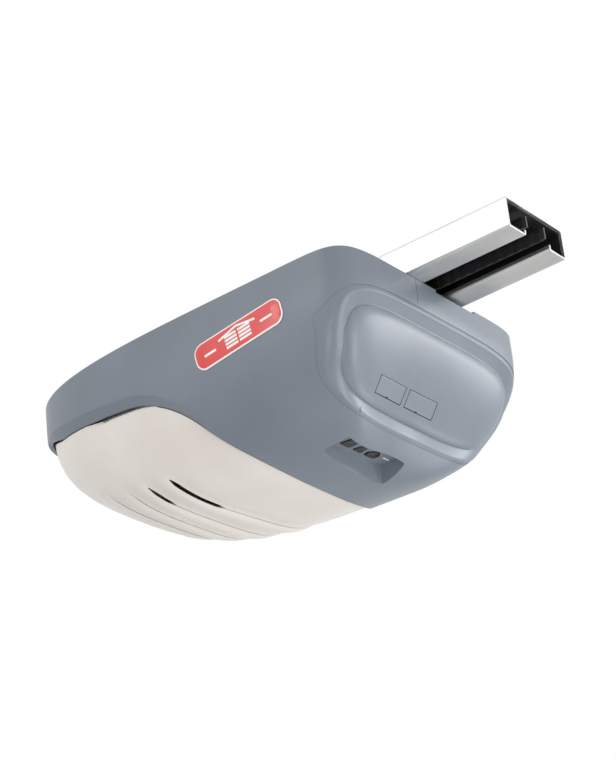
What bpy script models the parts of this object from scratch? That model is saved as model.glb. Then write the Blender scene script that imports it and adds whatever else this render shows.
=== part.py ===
"""Garage door opener: a ceiling power head with its belt rail, light lens, motor, gearbox and controls.

Metres, +Z up. +X points along the rail towards the door, -Y is the side with the badge. The origin is the
centre of the top face of the hanger saddle, the strap that clamps the rail to the head and hangs the
opener, so nearly everything lies below zero. "Rim" is the open top edge of the cover.
"""
import math

import bmesh
import bpy
from mathutils import Vector

# Driving dimensions
GAP = 0.0003
RAIL_WIDTH = 0.078
RAIL_HEIGHT = 0.027
RAIL_WALL = 0.0016
RAIL_SLOT = 0.032
RAIL_REAR_X = -0.030
RAIL_FRONT_X = 0.275
STRAP_THICKNESS = 0.0025
RIM_Z = -(STRAP_THICKNESS + GAP + RAIL_HEIGHT + GAP)
WIDEST_X = 0.085
NOSE_LENGTH = 0.0937
TAIL_LENGTH = 0.265
HALF_WIDTH = 0.122
STRAIGHT_SIDE = 0.0136
DEPTH_FRONT = 0.1193
DEPTH_MIDDLE = 0.1129
DEPTH_REAR = 0.0943
PLAN_POWER_NOSE = 8.0
PLAN_POWER_TAIL = 3.9
SECTION_POWER_NOSE = 1.8
SECTION_POWER_SIDE = 2.55
SECTION_POWER_TAIL = 3.05
COVER_WALL = 0.003
NOSE_WALL = 0.011
LENS_INSET = 0.005
LENS_WALL = 0.0025
CHASSIS_THICKNESS = 0.002
SPROCKET_X = 0.030
SPROCKET_TEETH = 8
BELT_PITCH = 0.010
BELT_HEIGHT = 0.010
WHEEL_RADIUS = 0.024
WHEEL_THICKNESS = 0.012
WORM_RADIUS = 0.0085
WORM_PITCH = 0.005
SHAFT_RADIUS = 0.004
DRIVE_Z = RIM_Z - 0.038
MOTOR_Y = -(WHEEL_RADIUS + WORM_RADIUS + 0.0005)
MOTOR_RADIUS = 0.029
MOTOR_X0 = 0.062
MOTOR_X1 = 0.146
REFLECTOR_Z = RIM_Z - 0.040
REFLECTOR_X = -0.002
LAMP_Y = 0.050
LAMP_Z = RIM_Z - 0.072
POCKET_X = 0.1060
POCKET_Y = -0.0210
POCKET_LENGTH = 0.073
POCKET_WIDTH = 0.0260
POCKET_FLOOR_Z = RIM_Z - 0.117
POCKET_FLOOR = 0.003
BUTTON_Y = (-0.038, -0.023, -0.008)
BUTTON_CLEARANCE = 0.0012
BOARD_Z = RIM_Z - 0.098
BOARD_THICKNESS = 0.0016
FACE_TILT = math.radians(35.0)
FACE_RECESS = 0.006
FACE_FLARE = 0.9
FACE_HALF_SIZE = (0.104, 0.0489)
FACE_ALONG = -0.0096
KNOCKOUT_SIZE = (0.036, 0.0145)
KNOCKOUT_Y = (-0.0445, -0.0040)
HINGE_X = -0.165
HINGE_Z = RIM_Z - 0.036
BADGE_SIZE = (0.088, 0.022)
BADGE_TILT = math.radians(7.0)

for old in list(bpy.data.objects):
    bpy.data.objects.remove(old)
parts = bpy.data.collections.new("garage_door_opener")
cutters = bpy.data.collections.new("cutters")
bpy.context.scene.collection.children.link(parts)
bpy.context.scene.collection.children.link(cutters)


def material(name, colour, roughness, metallic=0.0):
    """One Principled material with the part's own colour, roughness and metallic value."""
    made = bpy.data.materials.new(name)
    made.use_nodes = True
    shader = made.node_tree.nodes["Principled BSDF"]
    shader.inputs["Base Color"].default_value = (*colour, 1.0)
    shader.inputs["Roughness"].default_value = roughness
    shader.inputs["Metallic"].default_value = metallic
    return made


BLUE_GREY = material("blue_grey_abs", (0.24, 0.27, 0.32), 0.35)
PANEL_GREY = material("pale_panel_abs", (0.33, 0.37, 0.43), 0.32)
MILKY = material("milky_polycarbonate", (0.72, 0.69, 0.64), 0.45)
STEEL = material("zinc_plated_steel", (0.62, 0.63, 0.65), 0.35, 1.0)
RAIL_STEEL = material("galvanised_rail_steel", (0.78, 0.79, 0.81), 0.38, 1.0)
RUBBER = material("black_belt_rubber", (0.02, 0.02, 0.022), 0.7)
GEAR_NYLON = material("cream_gear_nylon", (0.72, 0.66, 0.52), 0.5)
BLACK_NYLON = material("black_nylon", (0.03, 0.03, 0.032), 0.5)
BRONZE = material("bearing_bronze", (0.45, 0.28, 0.12), 0.4, 1.0)
ALUMINIUM = material("cast_aluminium", (0.55, 0.56, 0.57), 0.5, 1.0)
COPPER = material("enamelled_copper", (0.55, 0.22, 0.1), 0.35, 1.0)
BOARD_GREEN = material("board_laminate", (0.03, 0.16, 0.07), 0.5)
WHITE_PLASTIC = material("white_plastic", (0.8, 0.8, 0.78), 0.4)
FROSTED = material("frosted_bulb_glass", (0.85, 0.84, 0.8), 0.3)
BADGE_RED = material("red_badge_enamel", (0.75, 0.06, 0.05), 0.3)
WIRE_RED = material("red_wire_pvc", (0.6, 0.03, 0.02), 0.45)
WIRE_BLACK = material("black_wire_pvc", (0.02, 0.02, 0.02), 0.45)
AXES = {
    "X": (math.pi / 2, 0.0, math.pi / 2),
    "Y": (math.pi / 2, 0.0, 0.0),
    "Z": (0.0, 0.0, 0.0),
}


def keep(name, mesh, look, at=(0, 0, 0), turn=(0, 0, 0), smooth=True):
    """Put a mesh in the opener's collection as a named part."""
    part = bpy.data.objects.new(name, mesh)
    part.location = at
    part.rotation_euler = turn
    mesh.materials.append(look)
    parts.objects.link(part)
    if smooth:
        mesh.shade_smooth()
        mesh.set_sharp_from_angle(angle=math.radians(35))
    return part


def tool(name, mesh, at=(0, 0, 0), turn=(0, 0, 0)):
    """Put a mesh among the cutters, as a wire shape that is not a part."""
    shape = bpy.data.objects.new(name, mesh)
    shape.location = at
    shape.rotation_euler = turn
    shape.hide_render = True
    shape.display_type = "WIRE"
    cutters.objects.link(shape)
    return shape


def combine(target, other, operation="DIFFERENCE"):
    """Cut, join or intersect the target with another object."""
    step = target.modifiers.new(operation.lower(), "BOOLEAN")
    step.operation = operation
    step.solver = "EXACT"
    step.object = other
    return target


def round_edges(part, width, segments=2):
    """Bevel the sharp edges of a part."""
    step = part.modifiers.new("rounded", "BEVEL")
    step.width = width
    step.segments = segments
    step.limit_method = "ANGLE"
    step.angle_limit = math.radians(40)
    return part


def box_mesh(name, size):
    """A box of the given size, centred on its own origin."""
    mesh = bpy.data.meshes.new(name)
    cube = bmesh.new()
    bmesh.ops.create_cube(cube, size=1.0)
    bmesh.ops.scale(cube, vec=Vector(size), verts=cube.verts)
    cube.to_mesh(mesh)
    cube.free()
    return mesh


def rod_mesh(name, radius, length, segments=20, top_radius=None):
    """A cylinder or cone along its own Z, centred on its origin."""
    mesh = bpy.data.meshes.new(name)
    rod = bmesh.new()
    upper = radius if top_radius is None else top_radius
    bmesh.ops.create_cone(
        rod, cap_ends=True, segments=segments, radius1=radius, radius2=upper, depth=length
    )
    rod.to_mesh(mesh)
    rod.free()
    return mesh


def plate_mesh(name, loops, thickness):
    """A flat outline, with any holes, given a thickness along its own Z."""
    curve = bpy.data.curves.new(name, "CURVE")
    curve.dimensions = "2D"
    curve.fill_mode = "BOTH"
    curve.extrude = thickness / 2
    for loop in loops:
        spline = curve.splines.new("POLY")
        spline.points.add(len(loop) - 1)
        for point, place in zip(spline.points, loop):
            point.co = (place[0], place[1], 0.0, 1.0)
        spline.use_cyclic_u = True
    outline = bpy.data.objects.new(name, curve)
    bpy.context.scene.collection.objects.link(outline)
    depsgraph = bpy.context.evaluated_depsgraph_get()
    mesh = bpy.data.meshes.new_from_object(outline.evaluated_get(depsgraph))
    bpy.data.objects.remove(outline)
    solid = bmesh.new()
    solid.from_mesh(mesh)
    bmesh.ops.remove_doubles(solid, verts=solid.verts, dist=0.00001)
    bmesh.ops.recalc_face_normals(solid, faces=solid.faces)
    solid.to_mesh(mesh)
    solid.free()
    return mesh


def turned(name, profile, look, at=(0, 0, 0), turn=(0, 0, 0), segments=20):
    """A round piece: a profile of (radius, height) points from top to bottom, swept by a Screw."""
    mesh = bpy.data.meshes.new(name)
    mesh.from_pydata([(r, 0.0, z) for r, z in profile], [(i, i + 1) for i in range(len(profile) - 1)], [])
    part = keep(name, mesh, look, at, turn, smooth=False)
    sweep = part.modifiers.new("turned", "SCREW")
    sweep.steps = segments
    sweep.render_steps = segments
    sweep.use_merge_vertices = True
    sweep.merge_threshold = 0.00001
    sweep.use_smooth_shade = True
    return part


def circle(radius, segments=24, x=0.0, y=0.0):
    """Points around a circle."""
    turns = [2 * math.pi * i / segments for i in range(segments)]
    return [(x + radius * math.cos(t), y + radius * math.sin(t)) for t in turns]


def rectangle(width, height, x=0.0, y=0.0):
    """Corners of an upright rectangle around a centre."""
    return [
        (x - width / 2, y - height / 2),
        (x + width / 2, y - height / 2),
        (x + width / 2, y + height / 2),
        (x - width / 2, y + height / 2),
    ]


def rounded_rectangle(width, height, radius, steps=5):
    """An upright rectangle with round corners, centred on the origin."""
    points = []
    for corner, (sx, sy) in enumerate(((1, 1), (-1, 1), (-1, -1), (1, -1))):
        cx = sx * (width / 2 - radius)
        cy = sy * (height / 2 - radius)
        for i in range(steps + 1):
            t = math.pi / 2 * (corner + i / steps)
            points.append((cx + radius * math.cos(t), cy + radius * math.sin(t)))
    return points


def arc(x, y, radius, start, end, steps):
    """Points along an arc, with its angles in degrees."""
    turns = [math.radians(start + (end - start) * i / steps) for i in range(steps + 1)]
    return [(x + radius * math.cos(t), y + radius * math.sin(t)) for t in turns]


def body_depth(x):
    """Depth of the body below its straight side at x, eased from tail to nose."""
    t = (x - WIDEST_X + TAIL_LENGTH) / (TAIL_LENGTH + NOSE_LENGTH)
    t = min(max(t, 0.0), 1.0)
    tail = DEPTH_REAR * (1 - t) * (1 - 2 * t)
    middle = 4 * DEPTH_MIDDLE * t * (1 - t)
    nose = DEPTH_FRONT * t * (2 * t - 1)
    return tail + middle + nose


def plan_point(turn, inset, nose_inset):
    """A point of the body's plan outline in direction turn, measured from the widest section."""
    c = math.cos(turn)
    s = math.sin(turn)
    power = PLAN_POWER_NOSE if c >= 0 else PLAN_POWER_TAIL
    length = NOSE_LENGTH - nose_inset if c >= 0 else TAIL_LENGTH - inset
    reach = (abs(c) ** power + abs(s) ** power) ** (-1 / power)
    return length * c * reach, (HALF_WIDTH - inset) * s * reach


def section_power(turn):
    """How square the body's section is in direction turn."""
    along = math.cos(turn) ** 2
    end = SECTION_POWER_NOSE if math.cos(turn) >= 0 else SECTION_POWER_TAIL
    return end * along + SECTION_POWER_SIDE * (1 - along)


def body_mesh(name, inset=0.0, nose_inset=None, depth_inset=None, above=0.0, around=72, rings=13):
    """The opener's body as a closed loft, shrunk by the insets and raised above the rim."""
    nose_inset = inset if nose_inset is None else nose_inset
    depth_inset = inset if depth_inset is None else depth_inset
    loft = bmesh.new()
    levels = []
    top = []
    for i in range(around):
        x, y = plan_point(2 * math.pi * i / around, inset, nose_inset)
        top.append(loft.verts.new((WIDEST_X + x, y, RIM_Z + above)))
    levels.append(top)
    for ring in range(rings):
        fall = math.pi / 2 * ring / rings
        level = []
        for i in range(around):
            turn = 2 * math.pi * i / around
            power = section_power(turn)
            reach = (math.cos(fall) ** power + math.sin(fall) ** power) ** (-1 / power)
            x, y = plan_point(turn, inset, nose_inset)
            x = WIDEST_X + x * math.cos(fall) * reach
            y = y * math.cos(fall) * reach
            drop = (body_depth(x) - depth_inset) * math.sin(fall) * reach
            level.append(loft.verts.new((x, y, RIM_Z - STRAIGHT_SIDE - drop)))
        levels.append(level)
    lowest = RIM_Z - STRAIGHT_SIDE - body_depth(WIDEST_X) + depth_inset
    bottom = loft.verts.new((WIDEST_X, 0.0, lowest))
    for upper, lower in zip(levels, levels[1:]):
        for i in range(around):
            j = (i + 1) % around
            loft.faces.new((upper[i], lower[i], lower[j], upper[j]))
    for i in range(around):
        loft.faces.new((levels[-1][i], bottom, levels[-1][(i + 1) % around]))
    loft.faces.new(top)
    bmesh.ops.recalc_face_normals(loft, faces=loft.faces)
    mesh = bpy.data.meshes.new(name)
    loft.to_mesh(mesh)
    loft.free()
    return mesh


def split_line(drop=0.0):
    """Side outline of the joint between cover and lens: a long shallow run, an arc, then a steep fall."""
    radius = 0.100
    rear_slope = math.radians(-7.3)
    front_slope = math.radians(-50.4)
    corner = (-0.012, RIM_Z - 0.0487 - drop)
    half = (rear_slope - front_slope) / 2
    reach = radius * math.tan(half)
    centre_x = corner[0] - reach * math.cos(rear_slope) + radius * math.sin(rear_slope)
    centre_z = corner[1] - reach * math.sin(rear_slope) - radius * math.cos(rear_slope)
    start = 90 + math.degrees(rear_slope)
    end = 90 + math.degrees(front_slope)
    points = [(-0.200, corner[1] + math.tan(-rear_slope) * 0.188)]
    points += arc(centre_x, centre_z, radius, start, end, 8)
    points.append((corner[0] + 0.080, corner[1] + math.tan(front_slope) * 0.080))
    return points


def below_split(name, drop=0.0):
    """Everything below the joint line, as a block across the whole width."""
    outline = split_line(drop) + [(0.068, RIM_Z - 0.170), (-0.200, RIM_Z - 0.170)]
    return tool(name, plate_mesh(name, [outline], 0.280), turn=AXES["Y"])


def on_face(along, across, out):
    """World place of a point given in the tilted front panel's own axes."""
    c = math.cos(FACE_TILT)
    s = math.sin(FACE_TILT)
    x = WIDEST_X + along * s + out * c
    return (x, across, RIM_Z + along * c - out * s)


FACE_TURN = (0.0, math.pi / 2 + FACE_TILT, 0.0)


def tapered_mesh(name, levels):
    """A block lofted through levels, each a list of 3-D points of the same count."""
    block = bmesh.new()
    rings = [[block.verts.new(place) for place in level] for level in levels]
    count = len(rings[0])
    for near, far in zip(rings, rings[1:]):
        for i in range(count):
            j = (i + 1) % count
            block.faces.new((near[i], near[j], far[j], far[i]))
    block.faces.new(rings[0])
    block.faces.new(rings[-1])
    bmesh.ops.recalc_face_normals(block, faces=block.faces)
    mesh = bpy.data.meshes.new(name)
    block.to_mesh(mesh)
    block.free()
    return mesh


def face_frustum():
    """Tapered block that opens the inset front panel, wide outside and narrower within."""
    levels = []
    for out in (0.082, 0.122):
        grow = FACE_FLARE * (out - 0.100)
        half_y = FACE_HALF_SIZE[0] + grow
        half_up = FACE_HALF_SIZE[1] + grow
        ring = rounded_rectangle(2 * half_y, 2 * half_up, 0.028 + grow * 0.7)
        levels.append([on_face(along + FACE_ALONG, across, out) for across, along in ring])
    return tool("face_frustum", tapered_mesh("face_frustum", levels))


def pocket_cutter():
    """Tapered block for the button pocket, smaller at its floor than at its mouth."""
    levels = []
    for z, length, width in (
        (RIM_Z - 0.134, POCKET_LENGTH + 0.002, POCKET_WIDTH + 0.002),
        (POCKET_FLOOR_Z, POCKET_LENGTH - 0.003, POCKET_WIDTH - 0.003),
    ):
        ring = rounded_rectangle(width, length, 0.003, 3)
        levels.append([(POCKET_X + x, POCKET_Y + across, z) for x, across in ring])
    return tool("pocket_cut", tapered_mesh("pocket_cut", levels))


def powerhead_cover():
    """Moulded shell with the inset panel, button pocket, knock-out windows and screw bosses."""
    cavity = tool("cover_cavity", body_mesh("cover_cavity", COVER_WALL, NOSE_WALL, 0.0085, above=0.01))
    boss_top = RIM_Z - CHASSIS_THICKNESS - GAP
    for i, (x, y) in enumerate(BOSS_PLACES):
        size = (0.016, 0.030, 0.018)
        at = (x, y + math.copysign(0.009, y), boss_top - size[2] / 2)
        combine(cavity, tool(f"boss_{i}", box_mesh(f"boss_{i}", size), at))
    block_height = 0.030
    block_top = POCKET_FLOOR_Z + POCKET_FLOOR
    pocket_block = tool(
        "pocket_block",
        box_mesh("pocket_block", (POCKET_WIDTH + 0.010, POCKET_LENGTH + 0.010, block_height)),
        (POCKET_X, POCKET_Y, block_top - block_height / 2),
    )
    combine(cavity, pocket_block)
    for i, (x, y) in enumerate(BOARD_POSTS):
        size = (0.008, 0.008, 0.040)
        at = (x, y, BOARD_Z - BOARD_THICKNESS / 2 - GAP - size[2] / 2)
        combine(cavity, tool(f"board_post_{i}", box_mesh(f"board_post_{i}", size), at))
    cover = keep("powerhead_cover", body_mesh("powerhead_cover", around=80, rings=16), BLUE_GREY)
    frustum = face_frustum()
    recessed = body_mesh("recessed_face", FACE_RECESS, FACE_RECESS, FACE_RECESS, above=0.002)
    combine(frustum, tool("recessed_face", recessed))
    combine(cover, frustum)
    combine(cover, cavity)
    combine(cover, below_split("cover_split"))
    combine(cover, pocket_cutter())
    for name, y in zip(("up", "program", "down"), BUTTON_Y):
        hole = plate_mesh(f"hole_{name}", [button_outline(name, BUTTON_CLEARANCE)], 0.012)
        combine(cover, tool(f"hole_{name}", hole, (POCKET_X, y, POCKET_FLOOR_Z)))
    slit = box_mesh("light_slit", (0.0026, 0.0086, 0.012))
    combine(cover, tool("light_slit", slit, (POCKET_X, 0.0075, POCKET_FLOOR_Z)))
    for i, y in enumerate(KNOCKOUT_Y):
        window = box_mesh(f"window_{i}", (KNOCKOUT_SIZE[1], KNOCKOUT_SIZE[0], 0.050))
        combine(cover, tool(f"window_{i}", window, on_face(KNOCKOUT_ALONG, y, 0.100), FACE_TURN))
    pin = rod_mesh("pin_hole", 0.0012, 0.040, 12)
    combine(cover, tool("pin_hole", pin, (0.139, -0.066, RIM_Z - 0.106)))
    notch = box_mesh("rim_notch", (0.030, 0.052, 0.005))
    combine(cover, tool("rim_notch", notch, (WIDEST_X + NOSE_LENGTH, 0.024, RIM_Z)))
    for i, (x, y) in enumerate(BOSS_PLACES):
        drill = rod_mesh(f"boss_drill_{i}", 0.0022, 0.030, 12)
        combine(cover, tool(f"boss_drill_{i}", drill, (x, y, RIM_Z - 0.004)))
    return cover


BOSS_PLACES = ((0.150, 0.100), (0.150, -0.100), (-0.120, 0.098), (-0.120, -0.098))
BOARD_POSTS = ((0.066, 0.050), (0.066, -0.066), (0.124, 0.050), (0.124, -0.066))
KNOCKOUT_ALONG = -0.0360


def button_outline(name, grow):
    """Outline of one control button: a trapezoid, a triangle or a pointed pentagon, all rounded."""
    size = 0.0052 + grow
    if name == "up":
        return [(-size, -size * 1.1), (size, -size * 0.8), (size, size * 0.8), (-size, size * 1.1)]
    if name == "program":
        return [(-size, -size), (size, -size * 0.35), (size, size * 0.35), (-size, size)]
    return [(-size, -size), (0.0, -size * 1.15), (size, 0.0), (0.0, size * 1.15), (-size, size)]


def light_lens():
    """Milky lens under the rear half, with two open light slots and its hinge ears."""
    outer = body_mesh("light_lens", LENS_INSET, LENS_INSET, 0.001, around=64, rings=14)
    lens = keep("light_lens", outer, MILKY, (0, 0, 0))
    inner_inset = LENS_INSET + LENS_WALL
    hollow = body_mesh(
        "lens_hollow", inner_inset, inner_inset, 0.001 + LENS_WALL, above=0.01, around=64, rings=14
    )
    combine(lens, tool("lens_hollow", hollow))
    combine(lens, below_split("lens_split", 0.0008), "INTERSECT")
    skin_middle = LENS_INSET + LENS_WALL / 2
    ear_limit = tool("ear_limit", body_mesh("ear_limit", skin_middle, skin_middle, 0.003, around=64))
    for side in (-1, 1):
        ear = tool(
            f"lens_ear_{side}",
            plate_mesh("lens_ear", [rectangle(0.0170, 0.020, -0.0040, -0.006)], 0.004),
            (HINGE_X, side * 0.042, HINGE_Z),
            AXES["Y"],
        )
        combine(ear, ear_limit, "INTERSECT")
        combine(lens, ear, "UNION")
        clearance = box_mesh(f"bracket_slot_{side}", (0.030, 0.005, 0.0165))
        at = (HINGE_X - 0.005, side * 0.036, HINGE_Z + 0.00375)
        combine(lens, tool(f"bracket_slot_{side}", clearance, at))
        bore = tool(
            f"ear_bore_{side}", rod_mesh("ear_bore", 0.0023, 0.012, 14), (HINGE_X, side * 0.042, HINGE_Z), AXES["Y"]
        )
        combine(lens, bore)
    for x, y, length in ((-0.0325, -0.062, 0.046), (-0.0600, -0.068, 0.030)):
        slot = box_mesh("light_slot", (0.0035, length, 0.040))
        combine(lens, tool("light_slot", slot, (x, y, RIM_Z - 0.104)))
    return lens


def chassis_plate():
    """Flat steel pan that closes the cover and carries everything."""
    inset = COVER_WALL + 0.0015
    outline = []
    for i in range(64):
        x, y = plan_point(2 * math.pi * i / 64, inset, NOSE_WALL + 0.001)
        outline.append((WIDEST_X + x, y))
    holes = [circle(0.0120, 24, SPROCKET_X, 0.0)]
    holes += [circle(0.0024, 10, x, y) for x, y in BOSS_PLACES]
    holes += [circle(0.0024, 10, x, y) for x, y in SADDLE_BOLTS]
    holes.append(circle(0.0083, 16, GLAND_PLACE[0], GLAND_PLACE[1]))
    mesh = plate_mesh("chassis_plate", [outline] + holes, CHASSIS_THICKNESS)
    return keep("chassis_plate", mesh, STEEL, (0, 0, RIM_Z - CHASSIS_THICKNESS / 2))


SADDLE_BOLTS = ((-0.011, 0.056), (0.011, 0.056), (-0.011, -0.056), (0.011, -0.056))
GLAND_PLACE = (-0.130, 0.050)


def hanger_saddle():
    """Bent strap over the rail, with a foot and an upstanding hanging tab on each side."""
    top = STRAP_THICKNESS + RAIL_HEIGHT + GAP * 2
    inner = RAIL_WIDTH / 2 + GAP
    outer = inner + STRAP_THICKNESS
    foot = 0.068
    tab = foot + STRAP_THICKNESS
    floor = GAP
    half = [
        (inner, floor), (inner, top - STRAP_THICKNESS), (-inner, top - STRAP_THICKNESS), (-inner, floor),
        (-tab, floor), (-tab, floor + 0.024), (-foot, floor + 0.024), (-foot, floor + STRAP_THICKNESS),
        (-outer, floor + STRAP_THICKNESS), (-outer, top), (outer, top), (outer, floor + STRAP_THICKNESS),
        (foot, floor + STRAP_THICKNESS), (foot, floor + 0.024), (tab, floor + 0.024), (tab, floor),
    ]
    mesh = plate_mesh("hanger_saddle", [half], 0.040)
    saddle = keep("hanger_saddle", mesh, STEEL, (0, 0, RIM_Z), AXES["X"])
    for i, (x, y) in enumerate(SADDLE_BOLTS):
        drill = rod_mesh(f"foot_drill_{i}", 0.0024, 0.010, 12)
        combine(saddle, tool(f"foot_drill_{i}", drill, (x, y, RIM_Z)))
    for side in (-1, 1):
        hole = rod_mesh(f"tab_hole_{side}", 0.0042, 0.012, 16)
        combine(saddle, tool(f"tab_hole_{side}", hole, (0, side * tab, RIM_Z + 0.0165), AXES["Y"]))
    return saddle


def screw(name, at, head_radius=0.0048, shank=0.014, turn=(0, 0, 0)):
    """A flanged pan-head screw, its seat at the given place and its shank pointing down."""
    profile = [
        (0.0, 0.0034), (head_radius * 0.55, 0.0034), (head_radius * 0.68, 0.0012), (head_radius, 0.0008),
        (head_radius, 0.0), (0.0019, 0.0), (0.0019, -shank + 0.001), (0.0012, -shank), (0.0, -shank),
    ]
    return turned(name, profile, STEEL, at, turn, 10)


def rail_channel():
    """Roll-formed C section, open at the bottom along its slot, cut short in front of the head."""
    half = RAIL_WIDTH / 2
    slot = RAIL_SLOT / 2
    wall = RAIL_WALL
    lip = 0.005
    outline = [
        (slot, 0), (half, 0), (half, RAIL_HEIGHT), (-half, RAIL_HEIGHT), (-half, 0), (-slot, 0),
        (-slot, lip), (-slot - wall, lip), (-slot - wall, wall), (-half + wall, wall),
        (-half + wall, RAIL_HEIGHT - wall), (half - wall, RAIL_HEIGHT - wall), (half - wall, wall),
        (slot + wall, wall), (slot + wall, lip), (slot, lip),
    ]
    mesh = plate_mesh("rail_channel", [outline], RAIL_FRONT_X - RAIL_REAR_X)
    at = ((RAIL_FRONT_X + RAIL_REAR_X) / 2, 0, RIM_Z + GAP)
    return keep("rail_channel", mesh, RAIL_STEEL, at, AXES["X"])


def drive_belt():
    """Toothed belt on edge: two runs in the rail, joined by the turn around the sprocket."""
    radius = SPROCKET_TEETH * BELT_PITCH / (2 * math.pi)
    back = radius + 0.0016
    inner = radius - 0.0006
    tip = inner - 0.0016
    end = RAIL_FRONT_X - SPROCKET_X
    outline = [(end, -back)] + arc(0, 0, back, 270, 90, 16) + [(end, back)]
    toothed = []
    runs = int(end / BELT_PITCH)
    for i in range(runs):
        x = end - BELT_PITCH * (i + 0.15)
        for dx, level in ((0.0, inner), (-0.0012, tip), (-0.0045, tip), (-0.0057, inner)):
            toothed.append((x + dx, level))
    turn_back = arc(0, 0, inner, 90, 270, 16)
    mirrored = [(x, -y) for x, y in reversed(toothed)]
    outline += [(end, inner)] + toothed + turn_back + mirrored + [(end, -inner)]
    mesh = plate_mesh("drive_belt", [outline], BELT_HEIGHT)
    return keep("drive_belt", mesh, RUBBER, (SPROCKET_X, 0, RIM_Z + 0.0145), smooth=False)


def toothed_outline(teeth, tip, root, land=0.22, flank=0.12):
    """Outline of a gear: tip lands, root lands and straight flanks."""
    points = []
    for i in range(teeth):
        start = i / teeth
        for share, radius in ((-land, tip), (land, tip), (land + flank, root), (1 - land - flank, root)):
            t = 2 * math.pi * (start + share / teeth)
            points.append((radius * math.cos(t), radius * math.sin(t)))
    return points


def drive_train():
    """Sprocket, shaft, worm wheel and the worm shaft that turns it."""
    place = (SPROCKET_X, 0, RIM_Z + 0.0145)
    belt_inner = SPROCKET_TEETH * BELT_PITCH / (2 * math.pi) - 0.0006
    tip = belt_inner - 0.0016 - 0.0004
    outline = toothed_outline(SPROCKET_TEETH, tip, tip - 0.0022)
    bore = circle(SHAFT_RADIUS + GAP, 20)
    keep("drive_sprocket", plate_mesh("drive_sprocket", [outline, bore], 0.0125), STEEL, place)
    length = 0.080
    shaft_top = RIM_Z + 0.0235
    keep(
        "output_shaft",
        rod_mesh("output_shaft", SHAFT_RADIUS, length, 20),
        STEEL,
        (SPROCKET_X, 0, shaft_top - length / 2),
    )
    wheel = plate_mesh("worm_wheel", [toothed_outline(30, WHEEL_RADIUS, WHEEL_RADIUS - 0.003), bore], WHEEL_THICKNESS)
    keep("worm_wheel", wheel, GEAR_NYLON, (SPROCKET_X, 0, DRIVE_Z))
    keep("worm_shaft", worm_mesh(), STEEL, (0, MOTOR_Y, DRIVE_Z))
    for name, z in (("upper_bearing", RIM_Z - 0.0065), ("lower_bearing", DRIVE_Z - 0.0130)):
        ring = plate_mesh(name, [circle(0.0105, 24), bore], 0.007)
        keep(name, ring, BRONZE, (SPROCKET_X, 0, z))


def worm_mesh():
    """Motor shaft with the worm thread cut on its rear end, as one loft along X."""
    start = SPROCKET_X - 0.024
    end = MOTOR_X1 + 0.014
    thread = (SPROCKET_X - 0.016, SPROCKET_X + 0.016)
    around = 12
    stations = [start, thread[0] - 0.001]
    steps = 39
    stations += [thread[0] + (thread[1] - thread[0]) * i / steps for i in range(steps + 1)]
    stations += [thread[1] + 0.001, end]
    loft = bmesh.new()
    rings = []
    for x in stations:
        ring = []
        for i in range(around):
            turn = 2 * math.pi * i / around
            radius = SHAFT_RADIUS
            if thread[0] <= x <= thread[1]:
                phase = 2 * math.pi * (x - thread[0]) / WORM_PITCH - turn
                wave = max(-1.0, min(1.0, 1.8 * math.cos(phase)))
                radius = WORM_RADIUS - 0.0015 + 0.0015 * wave
            ring.append(loft.verts.new((x, radius * math.cos(turn), radius * math.sin(turn))))
        rings.append(ring)
    for near, far in zip(rings, rings[1:]):
        for i in range(around):
            j = (i + 1) % around
            loft.faces.new((near[i], far[i], far[j], near[j]))
    loft.faces.new(rings[0])
    loft.faces.new(rings[-1])
    bmesh.ops.recalc_face_normals(loft, faces=loft.faces)
    mesh = bpy.data.meshes.new("worm_shaft")
    loft.to_mesh(mesh)
    loft.free()
    return mesh


def gearbox():
    """Cast housing around the worm wheel and worm, closed below by a plate."""
    centre_y = -0.009
    size = (0.056, 0.074, 0.030)
    top = DRIVE_Z + 0.016
    housing = keep(
        "gearbox_housing",
        box_mesh("gearbox_housing", size),
        ALUMINIUM,
        (SPROCKET_X, centre_y, top - size[2] / 2),
    )
    round_edges(housing, 0.003)
    boss_top = RIM_Z - CHASSIS_THICKNESS - GAP
    boss = rod_mesh("housing_boss", 0.016, boss_top - top + 0.004, 24)
    combine(housing, tool("housing_boss", boss, (SPROCKET_X, 0, (boss_top + top - 0.004) / 2)), "UNION")
    hollow = rod_mesh("wheel_hollow", WHEEL_RADIUS + 0.001, 0.026, 40)
    combine(housing, tool("wheel_hollow", hollow, (SPROCKET_X, 0, DRIVE_Z - 0.005)))
    seat = rod_mesh("bearing_seat", 0.0105 + GAP, 0.012, 24)
    combine(housing, tool("bearing_seat", seat, (SPROCKET_X, 0, RIM_Z - 0.0050)))
    bore = rod_mesh("housing_bore", SHAFT_RADIUS + 0.001, 0.060, 20)
    combine(housing, tool("housing_bore", bore, (SPROCKET_X, 0, DRIVE_Z + 0.020)))
    worm_bore = rod_mesh("worm_bore", WORM_RADIUS + 0.001, 0.060, 24)
    at = (SPROCKET_X + 0.006, MOTOR_Y, DRIVE_Z)
    combine(housing, tool("worm_bore", worm_bore, at, AXES["X"]))
    plate_thickness = 0.004
    low = top - size[2]
    seat_hole = circle(0.0105 + GAP, 24, 0.0, -centre_y)
    lid = plate_mesh("gearbox_lid", [rounded_rectangle(size[0], size[1], 0.004), seat_hole], plate_thickness)
    keep("gearbox_lid", lid, ALUMINIUM, (SPROCKET_X, centre_y, low - GAP - plate_thickness / 2))


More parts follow.
